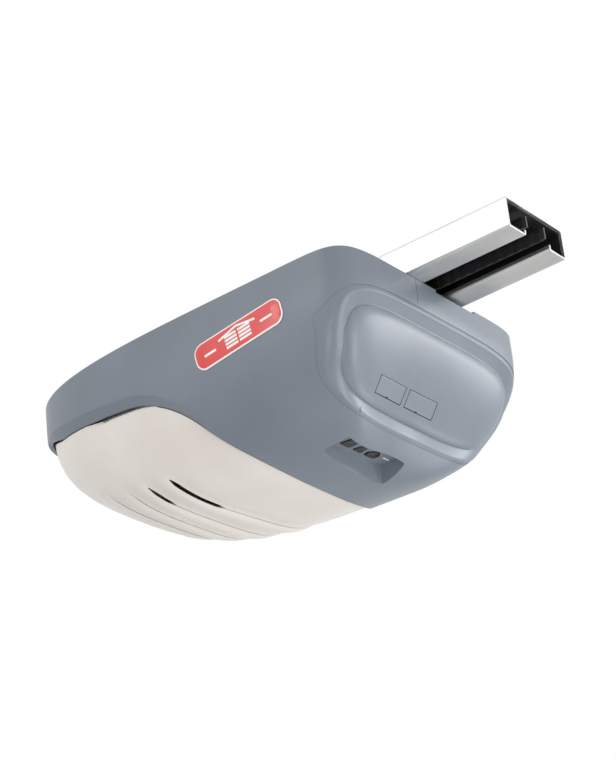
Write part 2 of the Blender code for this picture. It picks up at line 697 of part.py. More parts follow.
def motor():
    """Motor can, end bell, armature, commutator, strap, and the speed sensor with its slotted disc."""
    length = MOTOR_X1 - MOTOR_X0
    can = turned(
        "motor_can",
        [
            (0.0060, length), (MOTOR_RADIUS - 0.003, length), (MOTOR_RADIUS, length - 0.003),
            (MOTOR_RADIUS, 0.0), (MOTOR_RADIUS - 0.002, 0.0), (MOTOR_RADIUS - 0.002, length - 0.0025),
            (0.0060, length - 0.0025), (0.0060, length),
        ],
        STEEL,
        (MOTOR_X1, MOTOR_Y, DRIVE_Z),
        (0, -math.pi / 2, 0),
        32,
    )
    bell = turned(
        "motor_end_bell",
        [
            (0.0060, 0.004), (0.014, 0.004), (0.016, 0.0015), (MOTOR_RADIUS, 0.0015), (MOTOR_RADIUS, GAP),
            (MOTOR_RADIUS - 0.0023, GAP), (MOTOR_RADIUS - 0.0023, -0.005), (0.0060, -0.005), (0.0060, 0.004),
        ],
        ALUMINIUM,
        (MOTOR_X1, MOTOR_Y, DRIVE_Z),
        (0, math.pi / 2, 0),
        32,
    )
    bore = circle(SHAFT_RADIUS + GAP, 20)
    core = plate_mesh("motor_armature", [toothed_outline(10, 0.0250, 0.0225, 0.38, 0.02), bore], 0.050)
    keep("motor_armature", core, COPPER, (MOTOR_X0 + 0.034, MOTOR_Y, DRIVE_Z), AXES["X"])
    ring = plate_mesh("motor_commutator", [circle(0.010, 24), bore], 0.012)
    keep("motor_commutator", ring, COPPER, (MOTOR_X0 + 0.067, MOTOR_Y, DRIVE_Z), AXES["X"])
    disc = plate_mesh("speed_disc", [toothed_outline(12, 0.016, 0.013, 0.25, 0.0), bore], 0.001)
    keep("speed_disc", disc, BLACK_NYLON, (MOTOR_X1 + 0.010, MOTOR_Y, DRIVE_Z), AXES["X"])
    fork = [(0.0, 0.0), (0.0035, 0.0), (0.0035, 0.006), (0.0065, 0.006), (0.0065, 0.0), (0.010, 0.0), (0.010, 0.009), (0.0, 0.009)]
    sensor = plate_mesh("speed_sensor", [fork], 0.010)
    keep("speed_sensor", sensor, BLACK_NYLON, (MOTOR_X1 + 0.005, MOTOR_Y, DRIVE_Z + 0.0115), AXES["Y"])
    radius = MOTOR_RADIUS + GAP
    outer = radius + 0.002
    foot_z = RIM_Z - CHASSIS_THICKNESS - GAP - DRIVE_Z
    outline = [(-outer, foot_z - 0.002), (-outer, 0.0)] + arc(0, 0, outer, 180, 360, 20) + [(outer, foot_z - 0.002)]
    outline += [(outer + 0.010, foot_z - 0.002), (outer + 0.010, foot_z), (radius, foot_z), (radius, 0.0)]
    outline += arc(0, 0, radius, 360, 180, 20)[1:] + [(-radius, foot_z), (-outer - 0.010, foot_z)]
    outline.append((-outer - 0.010, foot_z - 0.002))
    strap = plate_mesh("motor_strap", [outline], 0.016)
    keep("motor_strap", strap, STEEL, (MOTOR_X0 + 0.042, MOTOR_Y, DRIVE_Z), AXES["X"])
    return can, bell


def electronics():
    """Control board with its relays, capacitor, terminals and switches, and the transformer."""
    board = plate_mesh("circuit_board", [rectangle(0.070, 0.130)], BOARD_THICKNESS)
    keep("circuit_board", board, BOARD_GREEN, (0.096, -0.008, BOARD_Z), smooth=False)
    top = BOARD_Z + BOARD_THICKNESS / 2 + GAP
    for i, y in enumerate((-0.052, -0.030)):
        relay = box_mesh(f"relay_{i + 1}", (0.019, 0.0155, 0.015))
        keep(f"relay_{i + 1}", relay, BLACK_NYLON, (0.078, y, top + 0.0075))
    keep("terminal_block", box_mesh("terminal_block", (0.010, 0.034, 0.012)), WHITE_PLASTIC, (0.122, 0.024, top + 0.006))
    profile = [(0.0, 0.030), (0.0110, 0.030), (0.0125, 0.0285), (0.0125, 0.0), (0.0, 0.0)]
    turned("filter_capacitor", profile, BLACK_NYLON, (0.084, 0.034, top), segments=24)
    below = BOARD_Z - BOARD_THICKNESS / 2 - GAP
    for name, y in zip(("up", "program", "down"), BUTTON_Y):
        switch = box_mesh(f"switch_{name}", (0.006, 0.006, 0.004))
        keep(f"switch_{name}", switch, BLACK_NYLON, (POCKET_X, y, below - 0.002))
    pipe_top = below - 0.0005
    pipe_low = POCKET_FLOOR_Z + 0.0005
    pipe = box_mesh("status_light_pipe", (0.0020, 0.0080, pipe_top - pipe_low))
    keep("status_light_pipe", pipe, WHITE_PLASTIC, (POCKET_X, 0.0075, (pipe_top + pipe_low) / 2))
    core = box_mesh("transformer_core", (0.050, 0.044, 0.034))
    at = Vector((0.098, 0.052, RIM_Z - CHASSIS_THICKNESS - GAP - 0.017))
    trunk = keep("transformer_core", core, STEEL, at)
    window = box_mesh("core_window", (0.026, 0.060, 0.022))
    combine(trunk, tool("core_window", window, at))
    coil = keep("transformer_coil", box_mesh("transformer_coil", (0.0254, 0.058, 0.0214)), COPPER, at)
    round_edges(coil, 0.003)


def controls():
    """Three push buttons in the pocket, each with a retaining flange above the pocket floor."""
    floor_top = POCKET_FLOOR_Z + POCKET_FLOOR
    flange = 0.0012
    for name, y in zip(("up", "program", "down"), BUTTON_Y):
        low = POCKET_FLOOR_Z - 0.0008
        high = floor_top + GAP + flange
        body = plate_mesh(f"button_{name}", [button_outline(name, 0.0)], high - low)
        button = keep(f"button_{name}", body, BLACK_NYLON, (POCKET_X, y, (high + low) / 2))
        ring = box_mesh(f"flange_{name}", (0.0144, 0.0146, flange))
        at = (POCKET_X, y, floor_top + GAP + flange / 2)
        combine(button, tool(f"flange_{name}", ring, at), "UNION")
        stem_top = BOARD_Z - BOARD_THICKNESS / 2 - GAP - 0.004 - 0.0013
        stem = box_mesh(f"stem_{name}", (0.003, 0.003, stem_top - floor_top))
        combine(button, tool(f"stem_{name}", stem, (POCKET_X, y, (stem_top + floor_top) / 2)), "UNION")
    for i, y in enumerate(KNOCKOUT_Y):
        size = (KNOCKOUT_SIZE[1] - 2 * GAP, KNOCKOUT_SIZE[0] - 2 * GAP, 0.0022)
        plate = box_mesh(f"knockout_{i + 1}", size)
        keep(f"knockout_{i + 1}", plate, PANEL_GREY, on_face(KNOCKOUT_ALONG, y, 0.0995), FACE_TURN)
    badge = plate_mesh("badge", [rounded_rectangle(BADGE_SIZE[0], BADGE_SIZE[1], 0.006)], 0.0012)
    at = (0.073, -HALF_WIDTH - GAP - 0.0006, RIM_Z - 0.039)
    keep("badge", badge, BADGE_RED, at, (math.pi / 2, -BADGE_TILT, 0.0))


def lighting():
    """Reflector sheet, two lamp sockets with their lamps, and the posts that hold the sheet."""
    sheet = 0.0015
    back = -0.160
    low = RIM_Z - 0.106
    outline = [
        (back, REFLECTOR_Z), (REFLECTOR_X, REFLECTOR_Z), (REFLECTOR_X, low), (REFLECTOR_X - sheet, low),
        (REFLECTOR_X - sheet, REFLECTOR_Z - sheet), (back, REFLECTOR_Z - sheet),
    ]
    reflector = keep("reflector", plate_mesh("reflector", [outline], 0.240), STEEL, turn=AXES["Y"])
    limit = body_mesh("reflector_limit", 0.011, 0.011, 0.011, above=0.001, around=48, rings=10)
    combine(reflector, tool("reflector_limit", limit), "INTERSECT")
    post_top = RIM_Z - CHASSIS_THICKNESS - GAP
    for i, (x, y) in enumerate(((-0.100, 0.080), (-0.100, -0.080), (-0.014, 0.080), (-0.014, -0.080))):
        height = post_top - REFLECTOR_Z - GAP
        post = rod_mesh(f"reflector_post_{i + 1}", 0.005, height, 6)
        keep(f"reflector_post_{i + 1}", post, STEEL, (x, y, REFLECTOR_Z + GAP + height / 2), smooth=False)
    face = REFLECTOR_X - sheet - GAP
    for i, y in enumerate((LAMP_Y, -LAMP_Y)):
        socket = [
            (0.0, 0.0), (0.020, 0.0), (0.020, -0.004), (0.0175, -0.006), (0.0175, -0.030),
            (0.0145, -0.030), (0.0145, -0.006), (0.0, -0.006),
        ]
        turned(f"lamp_socket_{i + 1}", socket, WHITE_PLASTIC, (face, y, LAMP_Z), (0, math.pi / 2, 0), 24)
        bulb = [
            (0.0, -0.0075), (0.006, -0.0075), (0.0128, -0.011), (0.0128, -0.031), (0.0150, -0.036)
        ]
        bulb += [(0.0265 * math.cos(math.radians(t)), -0.078 - 0.0265 * math.sin(math.radians(t)))
                 for t in range(-36, 91, 14)]
        bulb.append((0.0, -0.1045))
        turned(f"lamp_{i + 1}", bulb, FROSTED, (face, y, LAMP_Z), (0, math.pi / 2, 0), 24)


def lens_hinge():
    """Two steel brackets hanging from the chassis, with the pins that the lens swings on."""
    top = RIM_Z - CHASSIS_THICKNESS - GAP - HINGE_Z
    for i, side in enumerate((-1, 1)):
        outline = [
            (-0.004, -0.004), (0.009, -0.004), (0.009, top - 0.002), (0.018, top - 0.002), (0.018, top),
            (0.0015, top), (0.0015, 0.0045), (-0.004, 0.0045),
        ]
        hole = circle(0.0020 + GAP, 14)
        bracket = plate_mesh(f"hinge_bracket_{i + 1}", [outline, hole], 0.003)
        keep(f"hinge_bracket_{i + 1}", bracket, STEEL, (HINGE_X, side * 0.0360, HINGE_Z), AXES["Y"])
        pin = rod_mesh(f"hinge_pin_{i + 1}", 0.0020, 0.014, 14)
        keep(f"hinge_pin_{i + 1}", pin, STEEL, (HINGE_X, side * 0.0400, HINGE_Z), AXES["Y"])


def fittings():
    """Screws, the cord gland and the lamp leads."""
    for i, (x, y) in enumerate(BOSS_PLACES):
        screw(f"cover_screw_{i + 1}", (x, y, RIM_Z + GAP))
    for i, (x, y) in enumerate(SADDLE_BOLTS):
        screw(f"saddle_screw_{i + 1}", (x, y, RIM_Z + STRAP_THICKNESS + 2 * GAP), 0.0060, 0.011)
    gland = [
        (0.0045, 0.006), (0.0090, 0.006), (0.0110, 0.003), (0.0110, GAP), (0.0080, GAP), (0.0080, -0.012),
        (0.0045, -0.012), (0.0045, 0.006),
    ]
    turned("cord_gland", gland, BLACK_NYLON, (*GLAND_PLACE, RIM_Z), segments=20)


powerhead_cover()
light_lens()
chassis_plate()
hanger_saddle()
rail_channel()
drive_belt()
drive_train()
gearbox()
motor()
electronics()
controls()
lighting()
lens_hinge()
fittings()
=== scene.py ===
import math

import bmesh
import bpy
from mathutils import Matrix, Vector


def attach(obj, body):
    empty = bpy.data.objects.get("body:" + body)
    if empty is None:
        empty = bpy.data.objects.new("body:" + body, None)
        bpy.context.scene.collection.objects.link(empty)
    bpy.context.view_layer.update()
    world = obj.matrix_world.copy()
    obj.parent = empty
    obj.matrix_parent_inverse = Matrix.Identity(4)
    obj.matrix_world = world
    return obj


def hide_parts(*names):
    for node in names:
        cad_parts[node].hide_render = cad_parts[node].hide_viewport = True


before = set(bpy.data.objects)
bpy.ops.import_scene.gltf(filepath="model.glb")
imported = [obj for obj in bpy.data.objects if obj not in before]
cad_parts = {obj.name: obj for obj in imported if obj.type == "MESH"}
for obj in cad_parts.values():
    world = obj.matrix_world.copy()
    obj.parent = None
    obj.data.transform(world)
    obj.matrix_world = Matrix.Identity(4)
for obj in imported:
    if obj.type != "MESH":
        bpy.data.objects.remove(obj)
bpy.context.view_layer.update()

# ---- Powerhead cover ------------------------------------------------------------------------------
# The large one-piece shell of the opener, injection moulded in blue-grey ABS with a fine spark texture.
# It hangs under the steel chassis plate on four bosses and carries the sunk front panel, the button
# pocket and a downturned edge that shadows the joint to the light lens.
RIM_Z = -0.0301
WIDEST_X = 0.085
NOSE_LENGTH = 0.0937
TAIL_LENGTH = 0.265
HALF_WIDTH = 0.122
STRAIGHT_SIDE = 0.0136
DEPTH_FRONT = 0.1193
DEPTH_MIDDLE = 0.1129
DEPTH_REAR = 0.0943
PLAN_POWER_NOSE = 8.0
PLAN_POWER_TAIL = 3.9
SECTION_POWER_NOSE = 1.8
SECTION_POWER_SIDE = 2.55
SECTION_POWER_TAIL = 3.05
FACE_TILT = math.radians(35.0)


def linear(code):
    """Linear colour of an sRGB hex code."""
    channels = [int(code[i:i + 2], 16) / 255 for i in (0, 2, 4)]
    return [c / 12.92 if c <= 0.04045 else ((c + 0.055) / 1.055) ** 2.4 for c in channels] + [1.0]


def add(tree, kind, inputs=None, **settings):
    """One node with its settings; an input given as a socket is linked, anything else is its value."""
    made = tree.nodes.new(kind)
    for name, value in settings.items():
        setattr(made, name, value)
    for name, value in (inputs or {}).items():
        if isinstance(value, bpy.types.NodeSocket):
            tree.links.new(value, made.inputs[name])
        else:
            made.inputs[name].default_value = value
    return made


def finish_of(name, shader):
    """An empty material with its principled shader; shader holds the plain values of its sockets."""
    look = bpy.data.materials.new(name)
    look.use_nodes = True
    tree = look.node_tree
    principled = tree.nodes["Principled BSDF"]
    for socket, value in shader.items():
        principled.inputs[socket].default_value = value
    place = add(tree, "ShaderNodeTexCoord").outputs["Object"]
    return look, tree, principled, place


def between(tree, value, low, high):
    """Maps a 0 to 1 texture value onto a range of roughness or height."""
    sockets = {"Value": value, "To Min": low, "To Max": high}
    return add(tree, "ShaderNodeMapRange", sockets).outputs["Result"]


def noise(tree, place, grain, detail=3.0):
    """Noise whose grains are about so many metres across."""
    return add(tree, "ShaderNodeTexNoise", {"Vector": place, "Scale": 1 / grain, "Detail": detail}).outputs["Fac"]


def two_tones(tree, value, dark, light):
    """Colour that drifts from one tone to the other with a texture value."""
    ramp = add(tree, "ShaderNodeValToRGB", {"Fac": value})
    ramp.color_ramp.elements[0].color = linear(dark)
    ramp.color_ramp.elements[1].color = linear(light)
    ramp.color_ramp.elements[0].position = 0.3
    ramp.color_ramp.elements[1].position = 0.7
    return ramp.outputs["Color"]


def moulded(name, dark, light, gloss, grain=0.0006, height=0.00003, **shader):
    """Injection-moulded plastic: slow drift of tone, spark-eroded grain and slightly uneven gloss."""
    look, tree, principled, place = finish_of(name, shader)
    grainy = noise(tree, place, grain, 2.0)
    slow = noise(tree, place, 0.060)
    tree.links.new(two_tones(tree, slow, dark, light), principled.inputs["Base Color"])
    tree.links.new(between(tree, grainy, gloss - 0.05, gloss + 0.05), principled.inputs["Roughness"])
    bump = add(tree, "ShaderNodeBump", {"Height": grainy, "Distance": height, "Strength": 0.6})
    tree.links.new(bump.outputs["Normal"], principled.inputs["Normal"])
    return look


def body_depth(x):
    """How deep the body is under its straight side, from tail to nose."""
    t = min(max((x - WIDEST_X + TAIL_LENGTH) / (TAIL_LENGTH + NOSE_LENGTH), 0.0), 1.0)
    rear = DEPTH_REAR * (1 - t) * (1 - 2 * t)
    return rear + 4 * DEPTH_MIDDLE * t * (1 - t) + DEPTH_FRONT * t * (2 * t - 1)


def plan_point(turn, inset, nose_inset):
    """Point of the body's outline from above, measured from its widest place."""
    c = math.cos(turn)
    s = math.sin(turn)
    power = PLAN_POWER_NOSE if c >= 0 else PLAN_POWER_TAIL
    length = NOSE_LENGTH - nose_inset if c >= 0 else TAIL_LENGTH - inset
    reach = (abs(c) ** power + abs(s) ** power) ** (-1 / power)
    return length * c * reach, (HALF_WIDTH - inset) * s * reach


def section_power(turn):
    """Squareness of the body's upright section in that direction."""
    along = math.cos(turn) ** 2
    end = SECTION_POWER_NOSE if math.cos(turn) >= 0 else SECTION_POWER_TAIL
    return end * along + SECTION_POWER_SIDE * (1 - along)


def skin_point(turn, fall, inset=0.0, nose_inset=0.0, depth_inset=0.0):
    """Point of the moulded skin: turn goes round the plan and fall goes from the rim to the underside."""
    power = section_power(turn)
    reach = (math.cos(fall) ** power + math.sin(fall) ** power) ** (-1 / power)
    x, y = plan_point(turn, inset, nose_inset)
    x = WIDEST_X + x * math.cos(fall) * reach
    drop = (body_depth(x) - depth_inset) * math.sin(fall) * reach
    return Vector((x, y * math.cos(fall) * reach, RIM_Z - STRAIGHT_SIDE - drop))


def beyond_skin(point, inset=0.0, depth_inset=0.0):
    """Below zero inside the skin, above zero outside it."""
    x, y, z = point
    ahead = x - WIDEST_X
    power = PLAN_POWER_NOSE if ahead >= 0 else PLAN_POWER_TAIL
    length = (NOSE_LENGTH if ahead >= 0 else TAIL_LENGTH) - inset
    half = HALF_WIDTH - inset
    share = ((abs(ahead) / length) ** power + (abs(y) / half) ** power) ** (1 / power)
    if z > RIM_Z - STRAIGHT_SIDE:
        return share - 1
    section = section_power(math.atan2(y / half, ahead / length))
    fall = (RIM_Z - STRAIGHT_SIDE - z) / (body_depth(x) - depth_inset)
    return share ** section + fall ** section - 1


def skin_along(start, way, reach, inset=0.0, depth_inset=0.0):
    """How far a line from inside travels before it leaves the skin."""
    low = 0.0
    high = reach
    for _ in range(26):
        middle = (low + high) / 2
        if beyond_skin(start + way * middle, inset, depth_inset) < 0:
            low = middle
        else:
            high = middle
    return low


def mesh_of(name, points, faces):
    """Mesh with its normals turned outward."""
    mesh = bpy.data.meshes.new(name)
    mesh.from_pydata([tuple(p) for p in points], [], faces)
    work = bmesh.new()
    work.from_mesh(mesh)
    bmesh.ops.recalc_face_normals(work, faces=work.faces)
    work.to_mesh(mesh)
    work.free()
    return mesh


def lofted(name, rings, closed=True):
    """Solid through rings of equal length, with a flat or fanned face over each end."""
    count = len(rings[0])
    points = [p for ring in rings for p in ring]
    faces = []
    for r in range(len(rings) - 1):
        for i in range(count):
            j = (i + 1) % count
            faces.append((r * count + i, r * count + j, (r + 1) * count + j, (r + 1) * count + i))
    if closed:
        for start in (0, (len(rings) - 1) * count):
            middle = len(points)
            ring = points[start:start + count]
            points.append(sum((Vector(p) for p in ring), Vector()) / count)
            faces += [(start + i, start + (i + 1) % count, middle) for i in range(count)]
    return mesh_of(name, points, faces)


def skin_mesh(name, around, rings, inset=0.0, nose_inset=0.0, depth_inset=0.0, above=0.0, moved=None):
    """The whole moulded body as a closed solid; moved may shift each point of it."""
    turns = [2 * math.pi * i / around for i in range(around)]
    loops = []
    for height in (above, 0.0, -STRAIGHT_SIDE / 3, -STRAIGHT_SIDE * 2 / 3):
        flat = [plan_point(t, inset, nose_inset) for t in turns]
        if height != above or above == 0.0:
            loops.append([Vector((WIDEST_X + x, y, RIM_Z + height)) for x, y in flat])
        else:
            loops.append([Vector((WIDEST_X + x, y, RIM_Z + above)) for x, y in flat])
    if above == 0.0:
        loops.pop(0)
    for ring in range(rings):
        fall = math.pi / 2 * ring / rings
        loops.append([skin_point(t, fall, inset, nose_inset, depth_inset) for t in turns])
    if moved:
        loops = [[moved(p) for p in loop] for loop in loops]
    return lofted(name, loops)


def solid(name, mesh):
    """A loose object that a boolean can use."""
    made = bpy.data.objects.new(name, mesh)
    bpy.context.scene.collection.objects.link(made)
    return made


def carve(target, tools, operation="DIFFERENCE"):
    """Cuts, joins or keeps the overlap with each tool in turn, then drops the tools."""
    for tool in tools:
        cut = target.modifiers.new("cut", "BOOLEAN")
        cut.operation = operation
        cut.solver = "EXACT"
        cut.object = tool
        graph = bpy.context.evaluated_depsgraph_get()
        shaped = bpy.data.meshes.new_from_object(target.evaluated_get(graph))
        target.modifiers.clear()
        old = target.data
        target.data = shaped
        bpy.data.meshes.remove(old)
        spent = tool.data
        bpy.data.objects.remove(tool)
        bpy.data.meshes.remove(spent)
    return target


def box_solid(name, size, at, turn=None):
    """Rectangular cutter or blank, turned by a matrix if one is given."""
    work = bmesh.new()
    bmesh.ops.create_cube(work, size=1.0)
    mesh = bpy.data.meshes.new(name)
    work.to_mesh(mesh)
    work.free()
    scale = Matrix.Diagonal((*size, 1.0))
    mesh.transform(Matrix.Translation(at) @ (turn or Matrix()) @ scale)
    return solid(name, mesh)


def rod_solid(name, radius, low, high, at, turn=None, sides=32):
    """Round cutter or blank from low to high along its own axis."""
    ring = [(radius * math.cos(2 * math.pi * i / sides), radius * math.sin(2 * math.pi * i / sides))
            for i in range(sides)]
    mesh = lofted(name, [[Vector((x, y, low)) for x, y in ring], [Vector((x, y, high)) for x, y in ring]])
    mesh.transform(Matrix.Translation(at) @ (turn or Matrix()))
    return solid(name, mesh)


def finished(piece, look, body, nodes, sharp=32.0):
    """Smooth shading, material, the body it moves with and the parts it stands for."""
    mesh = piece.data
    work = bmesh.new()
    work.from_mesh(mesh)
    bmesh.ops.remove_doubles(work, verts=work.verts, dist=0.000002)
    bmesh.ops.recalc_face_normals(work, faces=work.faces)
    work.to_mesh(mesh)
    work.free()
    mesh.materials.clear()
    mesh.materials.append(look)
    mesh.polygons.foreach_set("material_index", [0] * len(mesh.polygons))
    mesh.polygons.foreach_set("use_smooth", [True] * len(mesh.polygons))
    mesh.set_sharp_from_angle(angle=math.radians(sharp))
    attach(piece, body)
    if nodes:
        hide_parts(*nodes)
    return piece


def on_face(along, across, out):
    """Place given in the tilted front panel's own directions."""
    c = math.cos(FACE_TILT)
    s = math.sin(FACE_TILT)
    return Vector((WIDEST_X + along * s + out * c, across, RIM_Z + along * c - out * s))


def panel_depth(inward):
    """Depth of the front panel under the skin, so far inward from its outer edge."""
    if inward < 0.0024:
        t = inward / 0.0024
        return 0.0024 * (0.10 * t + 0.29 * t * t)
    if inward < 0.0104:
        return 0.000936 + (inward - 0.0024) * 0.68
    if inward < 0.0110:
        return 0.006376
    t = min((inward - 0.0110) / 0.0100, 1.0)
    return 0.006376 - 0.0006 * min((inward - 0.0110) / 0.0005, 1.0) - 0.0016 * (1 - (1 - t) ** 2.6)


def panel_outline(turn, inward):
    """Outline of the front panel as (across, along), so far inward: a soft rectangle, narrower below."""
    shrink = min(inward, 0.021)
    wide = 0.1155 - shrink * 1.12
    high = 0.0472 - shrink * 0.93
    middle = -0.0165 - shrink * 0.06
    power = 4.5
    reach = (abs(math.cos(turn) / wide) ** power + abs(math.sin(turn) / high) ** power) ** (-1 / power)
    left = max(1 - max(inward - 0.021, 0.0) / 0.026, 0.0)
    across = reach * math.cos(turn) * left
    along = middle + reach * math.sin(turn) * left
    return across * (1 - 3.0 * max(-0.010 - along, 0.0)), along


def panel_surface(across, along, depth):
    """Point at that depth under the skin of the front panel's side."""
    out = skin_along(on_face(along, across, 0.02), (on_face(0, 0, 1) - on_face(0, 0, 0)), 0.14) + 0.02
    return on_face(along, across, out - depth)


def front_recess():
    """Cutter of the sunk front panel: eased outer edge, sloping band and gently crowned field."""
    steps = [-0.0025, 0.0, 0.0006, 0.0012, 0.0018, 0.0024, 0.0036, 0.0056, 0.0080, 0.0104, 0.0110]
    steps += [0.0115, 0.0119, 0.0124, 0.0130, 0.0138, 0.0148, 0.0160, 0.0175, 0.0190, 0.0210]
    steps += [0.021 + 0.026 * k / 13 for k in range(1, 13)]
    sides = 300
    turns = [2 * math.pi * i / sides for i in range(sides)]
    rings = []
    lid = []
    for turn in turns:
        across, along = panel_outline(turn, steps[0])
        lid.append(on_face(along, across, 0.150))
    rings.append(lid)
    for inward in steps:
        ring = []
        for turn in turns:
            across, along = panel_outline(turn, inward)
            ring.append(panel_surface(across, along, panel_depth(inward)))
        rings.append(ring)
    return solid("front_recess", lofted("front_recess", rings))


def split_height(x, drop=0.0):
    """Height of the joint between cover and lens: a shallow run, an arc, then a steep fall."""
    radius = 0.100
    rear = math.radians(-7.3)
    front = math.radians(-50.4)
    corner_x = -0.012
    corner_z = RIM_Z - 0.0487 - drop
    reach = radius * math.tan((rear - front) / 2)
    centre_x = corner_x - reach * math.cos(rear) + radius * math.sin(rear)
    centre_z = corner_z - reach * math.sin(rear) - radius * math.cos(rear)
    if x < corner_x - reach * math.cos(rear):
        return corner_z + math.tan(rear) * (x - corner_x)
    if x > corner_x + reach * math.cos(front):
        return corner_z + math.tan(front) * (x - corner_x)
    return centre_z + math.sqrt(radius ** 2 - (x - centre_x) ** 2)


def skirt_share(x):
    """How much of the downturned skirt is left there: almost none at the tail, where the lens swings up."""
    front = min(max((0.058 - x) / 0.040, 0.0), 1.0)
    rear = min(max((x + 0.166) / 0.034, 0.0), 1.0)
    return front * front * (3 - 2 * front) * (0.03 + 0.97 * rear * rear * (3 - 2 * rear))


def cover_edge(x, drop=0.0):
    """Height of the cover's lower edge, a skirt's height under the joint line."""
    return split_height(x, drop) - 0.0073 * skirt_share(x)


def under_split(name, drop=0.0):
    """Everything below the cover's edge, as a block right across the body."""
    xs = [-0.200 + 0.268 * i / 120 for i in range(121)]
    edge = [(x, cover_edge(x, drop)) for x in xs] + [(0.068, RIM_Z - 0.170), (-0.200, RIM_Z - 0.170)]
    rings = [[Vector((x, y, z)) for x, z in edge] for y in (-0.140, 0.140)]
    points = [p for ring in rings for p in ring]
    count = len(edge)
    faces = [(i, (i + 1) % count, count + (i + 1) % count, count + i) for i in range(count)]
    faces += [tuple(range(count)), tuple(range(count, 2 * count))]
    return solid(name, mesh_of(name, points, faces))


def edge_stations():
    """Places round the cover's lower edge: the edge point, the way inward, and the skin just above it."""
    stations = []
    for i in range(241):
        turn = math.radians(98 + 164 * i / 240)
        low = 0.0
        high = math.pi / 2
        for _ in range(30):
            fall = (low + high) / 2
            point = skin_point(turn, fall)
            if point.z > cover_edge(point.x):
                low = fall
            else:
                high = fall
        edge = skin_point(turn, low)
        fade = skirt_share(edge.x)
        near = skin_point(turn + 0.01, low)
        tangent = near - skin_point(turn - 0.01, low)
        inward = Vector((-tangent.y, tangent.x, 0.0)).normalized()
        if inward.dot(Vector((WIDEST_X - 0.10 - edge.x, -edge.y, 0.0))) < 0:
            inward.negate()
        stations.append((turn, low, edge, inward, fade))
    return stations


def skin_above(turn, fall, height):
    """Point of the skin on the same rib, that much higher than the joint."""
    low = 0.0
    high = fall
    for _ in range(24):
        middle = (low + high) / 2
        point = skin_point(turn, middle)
        if point.z - cover_edge(point.x) > height:
            low = middle
        else:
            high = middle
    return skin_point(turn, low)


def lower_edge_tools():
    """The sloping cut under the cover's edge, and the flange that keeps the wall behind it."""
    slope = []
    flange = []
    for turn, fall, edge, inward, fade in edge_stations():
        if fade <= 0.0:
            continue
        top = skin_above(turn, fall, 0.0073 * fade + 0.00005)
        reach = 0.0046 - 0.0026 * min(max((-0.135 - edge.x) / 0.030, 0.0), 1.0)
        foot = edge + inward * (reach * fade + 0.00005)
        line = foot - top
        outer = top - line * 0.35 - inward * 0.0002
        lower = foot + line * 0.5
        slope.append([outer, lower, lower - inward * 0.030 - Vector((0, 0, 0.004)), outer - inward * 0.020])
        shelf = edge + Vector((0, 0, 0.0105 * fade + 0.002))
        wall = max((reach + 0.0016) * fade, 0.0025)
        flange.append([shelf - inward * 0.004, shelf + inward * wall, edge + inward * wall - Vector((0, 0, 0.012)),
                       edge - inward * 0.004 - Vector((0, 0, 0.012))])
    return solid("edge_slope", lofted("edge_slope", slope)), solid("edge_flange", lofted("edge_flange", flange))


POCKET_X = 0.1060
POCKET_Y = -0.0210
POCKET_FLOOR_Z = RIM_Z - 0.117
BOSS_PLACES = ((0.150, 0.100), (0.150, -0.100), (-0.120, 0.098), (-0.120, -0.098))
BUTTON_Y = (-0.038, -0.023, -0.008)


def soft_outline(corners, radius, steps=5):
    """Outline through the corners, each rounded off by that radius."""
    points = []
    count = len(corners)
    for i in range(count):
        here = Vector(corners[i])
        back = (Vector(corners[i - 1]) - here).normalized()
        ahead = (Vector(corners[(i + 1) % count]) - here).normalized()
        half = back.angle(ahead) / 2
        reach = radius / math.tan(half)
        centre = here + (back + ahead).normalized() * (radius / math.sin(half))
        first = here + back * reach - centre
        last = here + ahead * reach - centre
        sweep = first.angle_signed(last)
        for k in range(steps + 1):
            turned = first.copy()
            turned.rotate(Matrix.Rotation(-sweep * k / steps, 2))
            points.append(tuple(centre + turned))
    return points


def key_outline(name, grow=0.0):
    """Outline of one button: a blunt wedge, a triangle or a pointed pentagon."""
    size = 0.0052 + grow
    shapes = {
        "up": [(-size, -size * 1.1), (size, -size * 0.8), (size, size * 0.8), (-size, size * 1.1)],
        "program": [(-size, -size), (size, -size * 0.35), (size, size * 0.35), (-size, size)],
        "down": [(-size, -size), (0.0, -size * 1.15), (size, 0.0), (0.0, size * 1.15), (-size, size)],
    }
    return soft_outline(shapes[name], 0.0011 + grow)


def upright(name, outline, low, high, at=(0, 0), draft=0.0):
    """Straight or drafted prism between two heights."""
    rings = []
    for z, spread in ((low, draft), (high, 0.0)):
        ring = []
        for x, y in outline:
            way = Vector((x, y)).normalized() * spread
            ring.append(Vector((at[0] + x + way.x, at[1] + y + way.y, z)))
        rings.append(ring)
    return solid(name, lofted(name, rings))


def pocket_solid(name, grow, low, high):
    """The button pocket, or the block of plastic round it, wider at its mouth."""
    rings = []
    for z, wide, long in ((low, 0.0280, 0.0750), (high, 0.0230, 0.0700)):
        half_wide = wide / 2 + grow
        half_long = long / 2 + grow
        corners = [(-half_wide, -half_long), (half_wide, -half_long), (half_wide, half_long), (-half_wide, half_long)]
        rings.append([Vector((POCKET_X + x, POCKET_Y + y, z)) for x, y in soft_outline(corners, 0.002 + grow)])
    return solid(name, lofted(name, rings))


FACE_SPIN = Matrix.Rotation(math.pi / 2 + FACE_TILT, 4, "Y")
KNOCKOUT_PLACES = ((-0.0360, -0.0395), (-0.0358, 0.0010))
KNOCKOUT_SIZE = (0.0150, 0.0360)

